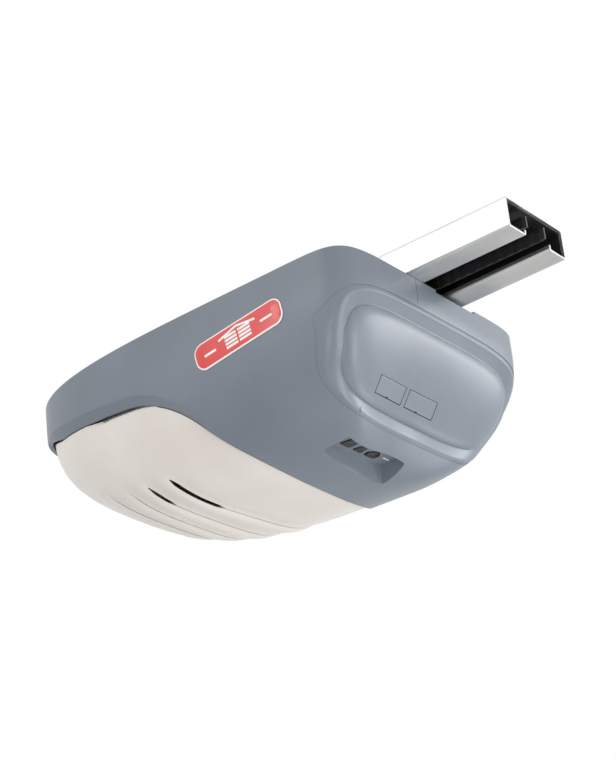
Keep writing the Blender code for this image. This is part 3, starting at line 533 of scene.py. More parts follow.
cover = solid("powerhead_cover_shell", skin_mesh("powerhead_cover_shell", 300, 90))
edge_slope, edge_flange = lower_edge_tools()
cavity = solid("cavity", skin_mesh("cavity", 96, 28, 0.003, 0.0115, 0.0085, above=0.01))
kept = [edge_flange]
for x, y in BOSS_PLACES:
    at = (x, y + math.copysign(0.009, y), RIM_Z - 0.0023 - 0.009)
    kept.append(box_solid("boss", (0.016, 0.030, 0.018), at))
kept.append(pocket_solid("pocket_block", 0.0035, RIM_Z - 0.150, POCKET_FLOOR_Z + 0.003))
carve(cavity, kept)
carve(cover, [front_recess()])
carve(cover, [cavity, under_split("cover_split"), edge_slope])
fine = [pocket_solid("pocket", 0.0, RIM_Z - 0.137, POCKET_FLOOR_Z)]
for name, y in zip(("up", "program", "down"), BUTTON_Y):
    outline = key_outline(name, 0.0012)
    fine.append(upright(f"hole_{name}", outline, POCKET_FLOOR_Z - 0.002, POCKET_FLOOR_Z + 0.005, (POCKET_X, y)))
fine.append(box_solid("light_slit", (0.0026, 0.0086, 0.012), (POCKET_X, 0.0075, POCKET_FLOOR_Z)))
for along, across in KNOCKOUT_PLACES:
    at = on_face(along, across, 0.100)
    fine.append(box_solid("window", (KNOCKOUT_SIZE[0], KNOCKOUT_SIZE[1], 0.030), at, FACE_SPIN))
pin_turn = Matrix.Rotation(FACE_TILT, 4, "Y")
fine.append(rod_solid("pin_hole", 0.0013, -0.020, 0.020, (0.1405, -0.0665, RIM_Z - 0.1085), pin_turn, 24))
fine.append(box_solid("seam", (0.0140, 0.0004, 0.0240), (WIDEST_X + NOSE_LENGTH + 0.0060, -0.029, RIM_Z - 0.0110)))
fine.append(box_solid("rim_notch", (0.030, 0.052, 0.005), (WIDEST_X + NOSE_LENGTH, 0.024, RIM_Z)))
for x, y in BOSS_PLACES:
    fine.append(rod_solid("boss_hole", 0.0022, -0.018, 0.002, (x, y, RIM_Z), sides=24))
carve(cover, fine)
# Satin blue-grey ABS with a fine spark-eroded grain.
cover_abs = moulded("satin_blue_grey_abs", "727a84", "79818c", 0.40)
finished(cover, cover_abs, "head", ["powerhead_cover"], 27.0)

# ---- Knock-out plates -----------------------------------------------------------------------------
# Two thin ABS plates that close the spare windows in the front panel. Each is held by a small gate
# of plastic in the middle of its lower edge and is pushed out when its window is needed.
panel_abs = moulded("satin_blue_grey_knockout_abs", "747c87", "7b838e", 0.42)
for number, (along, across) in enumerate(KNOCKOUT_PLACES):
    tall = KNOCKOUT_SIZE[0]
    wide = KNOCKOUT_SIZE[1]
    left = across - wide / 2 + 0.0011
    right_side = across + wide / 2 - 0.0003
    low_side = along - tall / 2 + 0.0006
    high_side = along + tall / 2 - 0.0003
    rows = []
    for depth in (0.0044, 0.0066):
        row = []
        for i in range(13):
            for j in range(7):
                u = left + (right_side - left) * i / 12
                v = low_side + (high_side - low_side) * j / 6
                row.append(panel_surface(u, v, depth))
        rows.append(row)
    count = len(rows[0])
    faces = []
    for i in range(12):
        for j in range(6):
            a = i * 7 + j
            faces.append((a, a + 7, a + 8, a + 1))
            faces.append((count + a, count + a + 1, count + a + 8, count + a + 7))
    rim = [i * 7 for i in range(13)] + [84 + j for j in range(1, 7)]
    rim += [i * 7 + 6 for i in range(11, -1, -1)] + [j for j in range(5, 0, -1)]
    for a, b in zip(rim, rim[1:] + rim[:1]):
        faces.append((a, b, count + b, count + a))
    plate = solid(f"knockout_plate_{number + 1}", mesh_of("knockout_plate", rows[0] + rows[1], faces))
    gate = box_solid("gate", (0.0016, 0.0022, 0.020), on_face(low_side, across - 0.001, 0.100), FACE_SPIN)
    carve(plate, [gate])
    bevel = plate.modifiers.new("edge", "BEVEL")
    bevel.width = 0.0003
    bevel.segments = 2
    bevel.limit_method = "ANGLE"
    graph = bpy.context.evaluated_depsgraph_get()
    plate.data = bpy.data.meshes.new_from_object(plate.evaluated_get(graph))
    plate.modifiers.clear()
    finished(plate, panel_abs, "head", [f"knockout_{number + 1}"])

# ---- Badge ----------------------------------------------------------------------------------------
# A thin enamelled plate stuck to the left flank: white rim, red field and a plain sign of a sectional
# garage door. It follows the soft curve of the flank.
BADGE_AT = (0.073, RIM_Z - 0.039)
BADGE_TILT = math.radians(7.0)


def flank_point(u, v, proud):
    """Place on the left flank in the badge's own directions, standing so far off the skin."""
    x = BADGE_AT[0] + u * math.cos(BADGE_TILT) - v * math.sin(BADGE_TILT)
    z = BADGE_AT[1] + u * math.sin(BADGE_TILT) + v * math.cos(BADGE_TILT)
    y = skin_along(Vector((x, -0.080, z)), Vector((0, -1, 0)), 0.060)
    return Vector((x, -0.080 - y - proud, z))


def flank_plate(name, outline, low, high):
    """Thin plate on the flank, its edge eased and its middle filled in rings."""
    rings = []
    for scale, proud in ((1.0, low), (1.0, high - 0.00015), (0.994, high), (0.8, high), (0.55, high), (0.25, high)):
        rings.append([flank_point(u * scale, v * scale, proud) for u, v in outline])
    return solid(name, lofted(name, rings))


def stadium(wide, high, radius):
    """Rounded rectangle with close points along its long sides."""
    ring = soft_outline([(-wide / 2, -high / 2), (wide / 2, -high / 2), (wide / 2, high / 2),
                         (-wide / 2, high / 2)], radius, 12)
    points = []
    for a, b in zip(ring, ring[1:] + ring[:1]):
        gap = (Vector(b) - Vector(a)).length
        parts = max(1, int(gap / 0.004))
        points += [tuple(Vector(a).lerp(Vector(b), k / parts)) for k in range(parts)]
    return points


def enamel(name, dark, light):
    """Fired enamel on a thin plate: glossy, with the faintest orange-peel and drift of tone."""
    look, tree, principled, place = finish_of(name, {"Coat Weight": 0.6, "Coat Roughness": 0.08})
    peel = noise(tree, place, 0.0015, 1.0)
    tree.links.new(two_tones(tree, noise(tree, place, 0.02), dark, light), principled.inputs["Base Color"])
    tree.links.new(between(tree, peel, 0.26, 0.34), principled.inputs["Roughness"])
    bump = add(tree, "ShaderNodeBump", {"Height": peel, "Distance": 0.00002, "Strength": 0.3})
    tree.links.new(bump.outputs["Normal"], principled.inputs["Normal"])
    return look


red_enamel = enamel("red_enamel", "d8322f", "e03b37")
white_enamel = enamel("white_enamel", "f1f1ee", "f8f8f6")
badge = flank_plate("badge_plate", stadium(0.0880, 0.0220, 0.0085), 0.0003, 0.0010)
finished(badge, white_enamel, "head", ["badge"])
field = flank_plate("badge_field", stadium(0.0856, 0.0196, 0.0073), 0.0008, 0.00125)
finished(field, red_enamel, "head", [])
sign = []
for row in range(4):
    middle = -0.0056 + row * 0.0030
    for side in (-0.0068, 0.0068):
        bar = [(side + u, middle + v) for u, v in stadium(0.0120, 0.0019, 0.0004)]
        sign.append(solid("door_panel", lofted("door_panel", [[flank_point(u, v, p) for u, v in bar]
                                                              for p in (0.0009, 0.00145)])))
for ends in ([(-0.0185, 0.0046), (0.0, 0.0082), (0.0, 0.0064), (-0.0185, 0.0028)],
             [(0.0, 0.0082), (0.0185, 0.0046), (0.0185, 0.0028), (0.0, 0.0064)]):
    loop = []
    for a, b in zip(ends, ends[1:] + ends[:1]):
        loop += [tuple(Vector(a).lerp(Vector(b), k / 4)) for k in range(4)]
    sign.append(solid("roof", lofted("roof", [[flank_point(u, v, p) for u, v in loop] for p in (0.0009, 0.00145)])))
for side in (-1, 1):
    rail_mark = [(side * 0.0285 + u, -0.0012 + v) for u, v in stadium(0.0120, 0.0019, 0.0009)]
    sign.append(solid("mark", lofted("mark", [[flank_point(u, v, p) for u, v in rail_mark]
                                              for p in (0.0009, 0.00145)])))
joined = bmesh.new()
for piece in sign:
    joined.from_mesh(piece.data)
    bpy.data.objects.remove(piece)
sign_mesh = bpy.data.meshes.new("badge_sign")
joined.to_mesh(sign_mesh)
joined.free()
finished(solid("badge_sign", sign_mesh), white_enamel, "head", [])

# ---- Light lens -----------------------------------------------------------------------------------
# The milky moulded lens under the rear half, with four curved louvres, two of them cut open, and two
# ears at its rear edge that turn on pins. Its front and side edges tuck in under the cover.
LENS_INSET = 0.005
LENS_DEPTH_INSET = 0.001
HINGE_X = -0.165
HINGE_Z = RIM_Z - 0.036
LOUVRES = ((-0.0242, 0.1571, -1.084, 0.082), (-0.0550, 0.0955, -0.992, 0.078),
           (-0.0824, 0.0693, -0.500, 0.070), (-0.1062, 0.0766, -0.710, 0.058))
LOUVRE_STARTS = (-0.0767, -0.0737, -0.0717, -0.0677)


def louvre_x(louvre, y):
    """Where a louvre runs at that place across the lens."""
    start, slope, curve, _ = louvre
    return start + slope * y + curve * y * y


def louvred(point):
    """Raises the rounded ridge behind each louvre and sinks the surface just in front of it."""
    if point.z > RIM_Z - 0.075 or point.x > 0.03:
        return point
    lift = 0.0
    for louvre, first in zip(LOUVRES, LOUVRE_STARTS):
        last = louvre[3]
        near = min(max((point.y - first + 0.010) / 0.014, 0.0), 1.0) * min(max((last - point.y) / 0.030, 0.0), 1.0)
        if near <= 0:
            continue
        ahead = point.x - louvre_x(louvre, point.y)
        lift += near * 0.0024 * math.exp(-((ahead + 0.0075) / 0.0068) ** 2)
        lift -= near * 0.0012 * math.exp(-((ahead - 0.0045) / 0.0060) ** 2)
    return Vector((point.x, point.y, point.z - lift))


def lens_z(x, y):
    """Height of the lens's outer surface there."""
    start = Vector((x, y, RIM_Z - 0.060))
    return start.z - skin_along(start, Vector((0, 0, -1)), 0.12, LENS_INSET, LENS_DEPTH_INSET)


def louvre_tool(name, louvre, first, last, half_width, depth, taper, throat, lean=0.0):
    """Cutter along a louvre: a narrow groove, or with a full throat a leaning slot through the wall."""
    rings = []
    steps = max(8, int((last - first) / 0.0022))
    for k in range(steps + 1):
        y = first + (last - first) * k / steps
        x = louvre_x(louvre, y)
        z = lens_z(x, y)
        ends = min(min(k, steps - k) / taper, 1.0)
        thin = half_width * (0.25 + 0.75 * math.sin(ends * math.pi / 2))
        low = -0.004
        top = depth * (0.2 + 0.8 * ends)
        outline = ((-thin, low), (thin, low), (thin, depth * 0.1), (thin * throat, top), (-thin * throat, top),
                   (-thin, depth * 0.1))
        rings.append([Vector((x + wide - lean * rise, y, z + rise)) for wide, rise in outline])
    return solid(name, lofted(name, rings))


def milky(name):
    """Diffusing acrylic: light scatters just under a softly shining, slightly pebbled surface."""
    sockets = {"Subsurface Weight": 0.35, "Subsurface Scale": 0.004, "Coat Weight": 0.12, "Coat Roughness": 0.25}
    look, tree, principled, place = finish_of(name, sockets)
    principled.inputs["Subsurface Radius"].default_value = (1.0, 0.85, 0.7)
    tone = two_tones(tree, noise(tree, place, 0.050), "dfd8d1", "e6e0da")
    tree.links.new(tone, principled.inputs["Base Color"])
    pebble = noise(tree, place, 0.0009, 2.0)
    tree.links.new(between(tree, pebble, 0.34, 0.44), principled.inputs["Roughness"])
    bump = add(tree, "ShaderNodeBump", {"Height": pebble, "Distance": 0.00003, "Strength": 0.4})
    tree.links.new(bump.outputs["Normal"], principled.inputs["Normal"])
    return look


lens = solid("light_lens_shell", skin_mesh("light_lens_shell", 300, 150, 0.005, 0.005, 0.001, moved=louvred))
hollow = solid("hollow", skin_mesh("hollow", 160, 60, 0.0075, 0.0075, 0.0035, above=0.01))
carve(lens, [hollow])
keep_below = under_split("lens_split", 0.0008)
carve(lens, [keep_below], "INTERSECT")
for side in (-1, 1):
    at = (HINGE_X - 0.0040, side * 0.042, HINGE_Z - 0.006)
    ear = box_solid("ear", (0.0170, 0.0040, 0.020), at)
    ear_limit = solid("ear_limit", skin_mesh("ear_limit", 96, 28, 0.0062, 0.0062, 0.003))
    carve(ear, [ear_limit], "INTERSECT")
    carve(lens, [ear], "UNION")
lens_cuts = []
for side in (-1, 1):
    at = (HINGE_X, side * 0.042, HINGE_Z)
    lens_cuts.append(rod_solid("ear_bore", 0.0023, -0.006, 0.006, at, Matrix.Rotation(math.pi / 2, 4, "X"), 24))
    at = (HINGE_X - 0.005, side * 0.036, HINGE_Z + 0.00375)
    lens_cuts.append(box_solid("bracket_slot", (0.030, 0.005, 0.0165), at))
for louvre, first in zip(LOUVRES, LOUVRE_STARTS):
    lens_cuts.append(louvre_tool("groove", louvre, first, louvre[3] - 0.012, 0.0006, 0.0016, 6, 0.4, 0.6))
lens_cuts.append(louvre_tool("slot_a", LOUVRES[0], LOUVRE_STARTS[0], -0.0270, 0.0021, 0.0100, 3, 1.0, 1.0))
lens_cuts.append(louvre_tool("slot_b", LOUVRES[1], LOUVRE_STARTS[1], -0.0460, 0.0017, 0.0100, 4, 1.0, 1.0))
notch_at = (-0.0640, -0.1160, cover_edge(-0.064) - 0.0002)
lens_cuts.append(box_solid("edge_notch", (0.0760, 0.020, 0.0080), notch_at, Matrix.Rotation(math.radians(7.3), 4, "Y")))
carve(lens, lens_cuts)
milky_lens = milky("milky_diffusing_acrylic")
finished(lens, milky_lens, "lens", ["light_lens"], 40.0)

# ---- Hanger saddle --------------------------------------------------------------------------------
# A zinc-plated steel strap bent over the rail and screwed down through its two feet. The upturned end
# of each foot has a hole for the perforated angle that hangs the opener from the ceiling.
STRAP_THICKNESS = 0.0025
GAP = 0.0003
SADDLE_BOLTS = ((-0.011, 0.056), (0.011, 0.056), (-0.011, -0.056), (0.011, -0.056))


def plated(name, dark, light, gloss=0.30, flake=0.006, **shader):
    """Zinc or galvanised steel: faint crystals, fine scratches along the sheet and dulled patches."""
    look, tree, principled, place = finish_of(name, {"Metallic": 1.0, **shader})
    crystal = add(tree, "ShaderNodeTexVoronoi", {"Vector": place, "Scale": 1 / flake}).outputs["Color"]
    value = add(tree, "ShaderNodeSeparateColor", {"Color": crystal}).outputs["Red"]
    patches = noise(tree, place, 0.020)
    blend = add(tree, "ShaderNodeMix", {"A": value, "B": patches, "Factor": 0.6}).outputs["Result"]
    tree.links.new(two_tones(tree, blend, dark, light), principled.inputs["Base Color"])
    tree.links.new(between(tree, blend, gloss - 0.06, gloss + 0.12), principled.inputs["Roughness"])
    fine = noise(tree, place, 0.0005, 1.0)
    bump = add(tree, "ShaderNodeBump", {"Height": fine, "Distance": 0.00001, "Strength": 0.4})
    tree.links.new(bump.outputs["Normal"], principled.inputs["Normal"])
    return look


def strip_section(path, thickness, radius, steps=6):
    """Closed outline of a strip bent along a path, every bend rounded on the middle line."""
    middle = [Vector(path[0])]
    for back, here, front in zip(path, path[1:], path[2:]):
        here = Vector(here)
        to_back = (Vector(back) - here).normalized()
        to_front = (Vector(front) - here).normalized()
        for k in range(steps + 1):
            t = k / steps
            start = here + to_back * radius
            end = here + to_front * radius
            middle.append(start.lerp(here, t).lerp(here.lerp(end, t), t))
    middle.append(Vector(path[-1]))
    left = []
    right = []
    for i, point in enumerate(middle):
        way = (middle[min(i + 1, len(middle) - 1)] - middle[max(i - 1, 0)]).normalized()
        side = Vector((-way.y, way.x)) * thickness / 2
        left.append(point + side)
        right.append(point - side)
    return left + right[::-1]


def pressed_along_x(name, section, start, end, ease=0.0004):
    """A strip section carried along X, its two cut ends slightly eased."""
    rings = []
    count = len(section)
    area = sum(p.x * section[i - 1].y - p.y * section[i - 1].x for i, p in enumerate(section))
    turned = math.copysign(1.0, area)
    for x, shrink in ((start, ease), (start + ease, 0.0), (end - ease, 0.0), (end, ease)):
        ring = []
        for i, p in enumerate(section):
            way = (section[(i + 1) % count] - section[i - 1]).normalized()
            outward = Vector((-way.y, way.x)) * turned
            ring.append(p - outward * shrink)
        rings.append([Vector((x, p.x, p.y)) for p in ring])
    points = [p for ring in rings for p in ring]
    faces = []
    for r in range(3):
        for i in range(count):
            j = (i + 1) % count
            faces.append((r * count + i, r * count + j, (r + 1) * count + j, (r + 1) * count + i))
    half = count // 2
    for start_at in (0, 3 * count):
        for i in range(half - 1):
            faces.append((start_at + i, start_at + i + 1, start_at + count - 2 - i, start_at + count - 1 - i))
    return solid(name, mesh_of(name, points, faces))


zinc_steel = plated("zinc_plated_steel", "b9bcbd", "d6d8d9")
foot = RIM_Z + GAP + STRAP_THICKNESS / 2
ridge = -STRAP_THICKNESS / 2
strap = [(-0.06925, foot + 0.02275), (-0.06925, foot), (-0.04055, foot), (-0.04055, ridge), (0.04055, ridge),
         (0.04055, foot), (0.06925, foot), (0.06925, foot + 0.02275)]
saddle = pressed_along_x("hanger_strap", strip_section(strap, STRAP_THICKNESS, 0.0026), -0.020, 0.020)
saddle_cuts = [rod_solid("foot_hole", 0.0026, -0.006, 0.006, (x, y, foot)) for x, y in SADDLE_BOLTS]
for side in (-1, 1):
    at = (0.0, side * 0.06925, RIM_Z + 0.0165)
    saddle_cuts.append(rod_solid("tab_hole", 0.0042, -0.006, 0.006, at, Matrix.Rotation(math.pi / 2, 4, "X")))
    for end in (-1, 1):
        corner = (end * 0.020, side * 0.06925, RIM_Z + GAP + 0.024)
        spin = Matrix.Rotation(math.pi / 4, 4, "Y")
        saddle_cuts.append(box_solid("tab_corner", (0.0060, 0.010, 0.0060), corner, spin))
carve(saddle, saddle_cuts)
finished(saddle, zinc_steel, "head", ["hanger_saddle"])

# ---- Rail -----------------------------------------------------------------------------------------
# The first length of the roll-formed steel rail, bright from the mill, with its open slot downward.
# A black liner sheet inside it is painted shade: it darkens the rail's interior, where shade falls.
RAIL_REAR_X = -0.030
RAIL_FRONT_X = 0.275
RAIL_BASE = RIM_Z + GAP


def brushed(name, dark, light, gloss, way):
    """Rolled or ground metal with long fine lines; way holds the pattern's scale along each axis."""
    look, tree, principled, place = finish_of(name, {"Metallic": 1.0})
    stretched = add(tree, "ShaderNodeMapping", {"Vector": place, "Scale": way}).outputs["Vector"]
    lines = add(tree, "ShaderNodeTexNoise", {"Vector": stretched, "Scale": 1.0, "Detail": 2.0}).outputs["Fac"]
    patches = noise(tree, place, 0.030)
    blend = add(tree, "ShaderNodeMix", {"A": lines, "B": patches, "Factor": 0.5}).outputs["Result"]
    tree.links.new(two_tones(tree, blend, dark, light), principled.inputs["Base Color"])
    tree.links.new(between(tree, lines, gloss - 0.05, gloss + 0.10), principled.inputs["Roughness"])
    bump = add(tree, "ShaderNodeBump", {"Height": lines, "Distance": 0.000012, "Strength": 0.35})
    tree.links.new(bump.outputs["Normal"], principled.inputs["Normal"])
    return look


rolled_steel = brushed("bright_rolled_steel", "d2d2d1", "e6e6e5", 0.34, (12.0, 1600.0, 1600.0))
side_path = [(0.0168, 0.0050), (0.0168, 0.0008), (0.0382, 0.0008), (0.0382, 0.0262), (-0.0382, 0.0262),
             (-0.0382, 0.0008), (-0.0168, 0.0008), (-0.0168, 0.0050)]
rail_path = [(y, RAIL_BASE + z) for y, z in side_path]
rail = pressed_along_x("belt_rail", strip_section(rail_path, 0.0016, 0.0020), RAIL_REAR_X, RAIL_FRONT_X, 0.0002)
finished(rail, rolled_steel, "head", ["rail_channel"])
# Matt black: the real nylon of the gland and small parts, and painted shade on the rail liner.
black_nylon_and_painted_shade = moulded("matt_black_nylon_and_painted_shade", "121315", "1a1b1d", 0.50, 0.0005)
# The liner is a black sheet that stands in for the shade inside the rail; its ribs follow the slot.
shade_liner_path = [(0.0194, 0.0026), (0.0370, 0.0026), (0.0370, 0.0248), (-0.0370, 0.0248), (-0.0370, 0.0026),
              (-0.0194, 0.0026)]
shade_liner_path = [(y, RAIL_BASE + z) for y, z in shade_liner_path]
shade_liner_section = strip_section(shade_liner_path, 0.0010, 0.0016)
shade_liner = pressed_along_x("rail_guide", shade_liner_section, RAIL_REAR_X + 0.002, RAIL_FRONT_X - 0.002, 0.0002)
ribs = []
for side in (-1, 1):
    for offset in (0.0205, 0.0235):
        at = ((RAIL_REAR_X + RAIL_FRONT_X) / 2, side * offset, RAIL_BASE + 0.0045)
        ribs.append(box_solid("rib", (RAIL_FRONT_X - RAIL_REAR_X - 0.006, 0.0008, 0.0036), at))
carve(shade_liner, ribs, "UNION")
finished(shade_liner, black_nylon_and_painted_shade, "head", [])

# ---- Drive belt -----------------------------------------------------------------------------------
# Steel-cored rubber timing belt that stands on edge in the rail: two straight runs and the turn round
# the sprocket. Its moulded teeth repeat every ten millimetres along the inside.
SPROCKET_X = 0.030
BELT_PITCH = 0.010
BELT_BACK = 8 * BELT_PITCH / (2 * math.pi) + 0.0006
BELT_MIDDLE_Z = RIM_Z + 0.0145


def new_tree(name, sockets):
    """Geometry tree with a geometry input and output and the named inputs given as (name, kind)."""
    tree = bpy.data.node_groups.new(name, "GeometryNodeTree")
    tree.interface.new_socket("Geometry", in_out="INPUT", socket_type="NodeSocketGeometry")
    for label, kind in sockets:
        tree.interface.new_socket(label, in_out="INPUT", socket_type=kind)
    tree.interface.new_socket("Geometry", in_out="OUTPUT", socket_type="NodeSocketGeometry")
    source = tree.nodes.new("NodeGroupInput")
    target = tree.nodes.new("NodeGroupOutput")
    return tree, source.outputs, target.inputs["Geometry"]


def grown(name, base, tree, values):
    """Plain mesh from a geometry tree; each value goes in by its socket's identifier."""
    carrier = solid(name, base)
    growth = carrier.modifiers.new("growth", "NODES")
    growth.node_group = tree
    for item in tree.interface.items_tree:
        if item.in_out == "INPUT" and item.name in values:
            growth[item.identifier] = values[item.name]
    graph = bpy.context.evaluated_depsgraph_get()
    mesh = bpy.data.meshes.new_from_object(carrier.evaluated_get(graph))
    carrier.modifiers.clear()
    carrier.data = mesh
    return carrier


def rubber(name):
    """Moulded black rubber with a fine dusty bloom."""
    look, tree, principled, place = finish_of(name, {"Sheen Weight": 0.15, "Sheen Roughness": 0.5})
    bloom = noise(tree, place, 0.004)
    tree.links.new(two_tones(tree, bloom, "17181a", "26272a"), principled.inputs["Base Color"])
    tree.links.new(between(tree, bloom, 0.48, 0.62), principled.inputs["Roughness"])
    grain = noise(tree, place, 0.0004, 1.0)
    bump = add(tree, "ShaderNodeBump", {"Height": grain, "Distance": 0.00003, "Strength": 0.4})
    tree.links.new(bump.outputs["Normal"], principled.inputs["Normal"])
    return look


belt_tree, given, result = new_tree("belt_teeth", [
    ("Pitch", "NodeSocketFloat"), ("Tooth", "NodeSocketVector"), ("Band", "NodeSocketFloat"),
    ("Height", "NodeSocketFloat"), ("Material", "NodeSocketMaterial"),
])
line = add(belt_tree, "GeometryNodeMeshToCurve", {"Mesh": given["Geometry"]}).outputs["Curve"]
band = add(belt_tree, "GeometryNodeCurvePrimitiveQuadrilateral", {"Width": given["Band"], "Height": given["Height"]})
skin = add(belt_tree, "GeometryNodeCurveToMesh", {"Curve": line, "Profile Curve": band.outputs["Curve"],
                                                  "Fill Caps": True}).outputs["Mesh"]
spaced = add(belt_tree, "GeometryNodeCurveToPoints", {"Curve": line, "Length": given["Pitch"]}, mode="LENGTH")
tooth = add(belt_tree, "GeometryNodeMeshCube", {"Size": given["Tooth"]}).outputs["Mesh"]
inside = add(belt_tree, "ShaderNodeSeparateXYZ", {"Vector": given["Tooth"]}).outputs["X"]
shift = add(belt_tree, "ShaderNodeMath", {0: inside, 1: 0.5}, operation="MULTIPLY").outputs["Value"]
place_in = add(belt_tree, "ShaderNodeCombineXYZ", {"X": shift}).outputs["Vector"]
tooth = add(belt_tree, "GeometryNodeTransform", {"Geometry": tooth, "Translation": place_in}).outputs["Geometry"]
teeth = add(belt_tree, "GeometryNodeInstanceOnPoints", {
    "Points": spaced.outputs["Points"], "Instance": tooth, "Rotation": spaced.outputs["Rotation"]}).outputs["Instances"]
both = add(belt_tree, "GeometryNodeJoinGeometry", {})
belt_tree.links.new(skin, both.inputs["Geometry"])
belt_tree.links.new(teeth, both.inputs["Geometry"])
real = add(belt_tree, "GeometryNodeRealizeInstances", {"Geometry": both.outputs["Geometry"]}).outputs["Geometry"]
done = add(belt_tree, "GeometryNodeSetMaterial", {"Geometry": real, "Material": given["Material"]}).outputs["Geometry"]
belt_tree.links.new(done, result)

belt_rubber = rubber("black_moulded_rubber")
path = [(RAIL_FRONT_X - 0.0026 - SPROCKET_X, -BELT_BACK)]
path += [(RAIL_FRONT_X - SPROCKET_X - k * 0.010, -BELT_BACK) for k in range(1, 25)]
path += [(BELT_BACK * math.cos(math.radians(270 - 6 * k)), BELT_BACK * math.sin(math.radians(270 - 6 * k)))
         for k in range(31)]
path += [(RAIL_FRONT_X - SPROCKET_X - k * 0.010, BELT_BACK) for k in range(24, 0, -1)]
path += [(RAIL_FRONT_X - 0.0026 - SPROCKET_X, BELT_BACK)]
line_mesh = bpy.data.meshes.new("belt_line")
line_mesh.from_pydata([(SPROCKET_X + x, y, BELT_MIDDLE_Z) for x, y in path],
                      [(k, k + 1) for k in range(len(path) - 1)], [])
belt = grown("toothed_belt", line_mesh, belt_tree, {
    "Pitch": BELT_PITCH, "Tooth": (0.0018, 0.0098, 0.0046), "Band": 0.0015, "Height": 0.0100,
    "Material": belt_rubber})
finished(belt, belt_rubber, "head", ["drive_belt"])

# ---- Chassis plate --------------------------------------------------------------------------------
# The flat galvanised pan that closes the shell from above and carries motor, gearbox, lamps and saddle.
# Pressed beads stiffen it, and it is pierced for the shaft, the screws, the cord gland and for air.
CHASSIS_THICKNESS = 0.002
GLAND_PLACE = (-0.130, 0.050)


def plan_ring(inset, nose_inset, z, count=220):
    """The body's outline from above at one height."""
    ring = []
    for i in range(count):
        x, y = plan_point(2 * math.pi * i / count, inset, nose_inset)
        ring.append(Vector((WIDEST_X + x, y, z)))
    return ring


galvanised = plated("galvanised_sheet_steel", "a9adb0", "cfd3d5", 0.34, 0.007)
under = RIM_Z - CHASSIS_THICKNESS
chassis_rings = [plan_ring(0.0049, 0.0124, under), plan_ring(0.0045, 0.0120, under + 0.0004),
                 plan_ring(0.0045, 0.0120, RIM_Z - 0.0004), plan_ring(0.0049, 0.0124, RIM_Z)]
chassis = solid("chassis_pan", lofted("chassis_pan", chassis_rings))
beads = []
for at, size in (((-0.092, 0.078), (0.100, 0.010)), ((-0.092, -0.078), (0.100, 0.010)),
                 ((0.100, 0.072), (0.090, 0.010)), ((0.100, -0.072), (0.090, 0.010)),
                 ((-0.070, 0.0), (0.010, 0.110)), ((-0.148, 0.0), (0.010, 0.070))):
    rings = []
    for z, grow in ((RIM_Z - 0.0004, 0.0016), (RIM_Z + 0.0002, 0.0010), (RIM_Z + 0.0009, 0.0), (RIM_Z + 0.0012, -0.0012)):
        wide = size[0] + 2 * grow
        long = size[1] + 2 * grow
        ring = soft_outline([(-wide / 2, -long / 2), (wide / 2, -long / 2), (wide / 2, long / 2),
                             (-wide / 2, long / 2)], min(wide, long) / 2 - 0.0003, 10)
        rings.append([Vector((at[0] + x, at[1] + y, z)) for x, y in ring])
    beads.append(solid("bead", lofted("bead", rings)))
carve(chassis, beads, "UNION")
pierced = [rod_solid("shaft_hole", 0.0120, -0.01, 0.01, (SPROCKET_X, 0.0, RIM_Z), sides=48),
           rod_solid("gland_hole", 0.0083, -0.01, 0.01, (*GLAND_PLACE, RIM_Z))]
pierced += [rod_solid("screw_hole", 0.0024, -0.01, 0.01, (x, y, RIM_Z), sides=20)
            for x, y in BOSS_PLACES + SADDLE_BOLTS]
for k in range(7):
    for side in (-1, 1):
        slot = [(x, y + side * 0.096) for x, y in stadium(0.0040, 0.0180, 0.0019)]
        at = (0.058 + 0.011 * k, 0.0)
        pierced.append(upright("vent", slot, RIM_Z - 0.01, RIM_Z + 0.01, at))
carve(chassis, pierced)
finished(chassis, galvanised, "head", ["chassis_plate"])

# ---- Screws ---------------------------------------------------------------------------------------
# Zinc-plated thread-forming screws with a flanged pan head and a cross recess. Four hold the cover and
# four larger ones hold the saddle. One screw is set on every place by a geometry tree.


def screw_blank(head, shank):
    """One screw with its seat at the origin: flange, domed head, cross recess and threaded shank."""
    profile = [(0.0, 0.0034), (head * 0.30, 0.00335), (head * 0.50, 0.0030), (head * 0.62, 0.0023),
               (head * 0.66, 0.0012), (head * 0.94, 0.0009), (head, 0.0006), (head, 0.0001), (head * 0.97, 0.0),
               (0.0019, 0.0)]
    z = -0.0004
    while z > -shank + 0.002:
        profile += [(0.0021, z), (0.00165, z - 0.00045)]
        z -= 0.0009
    profile += [(0.0010, -shank), (0.0, -shank)]
    sides = 28
    rings = []
    for radius, z in profile:
        ring = [Vector((max(radius, 0.00001) * math.cos(2 * math.pi * i / sides),
                        max(radius, 0.00001) * math.sin(2 * math.pi * i / sides), z)) for i in range(sides)]
        rings.append(ring)
    blank = solid("screw_blank", lofted("screw_blank", rings))
    bars = [box_solid("bar", (head * 0.62, 0.0009, 0.0040), (0, 0, 0.0034)),
            box_solid("bar", (0.0009, head * 0.62, 0.0040), (0, 0, 0.0034))]
    return carve(blank, bars)


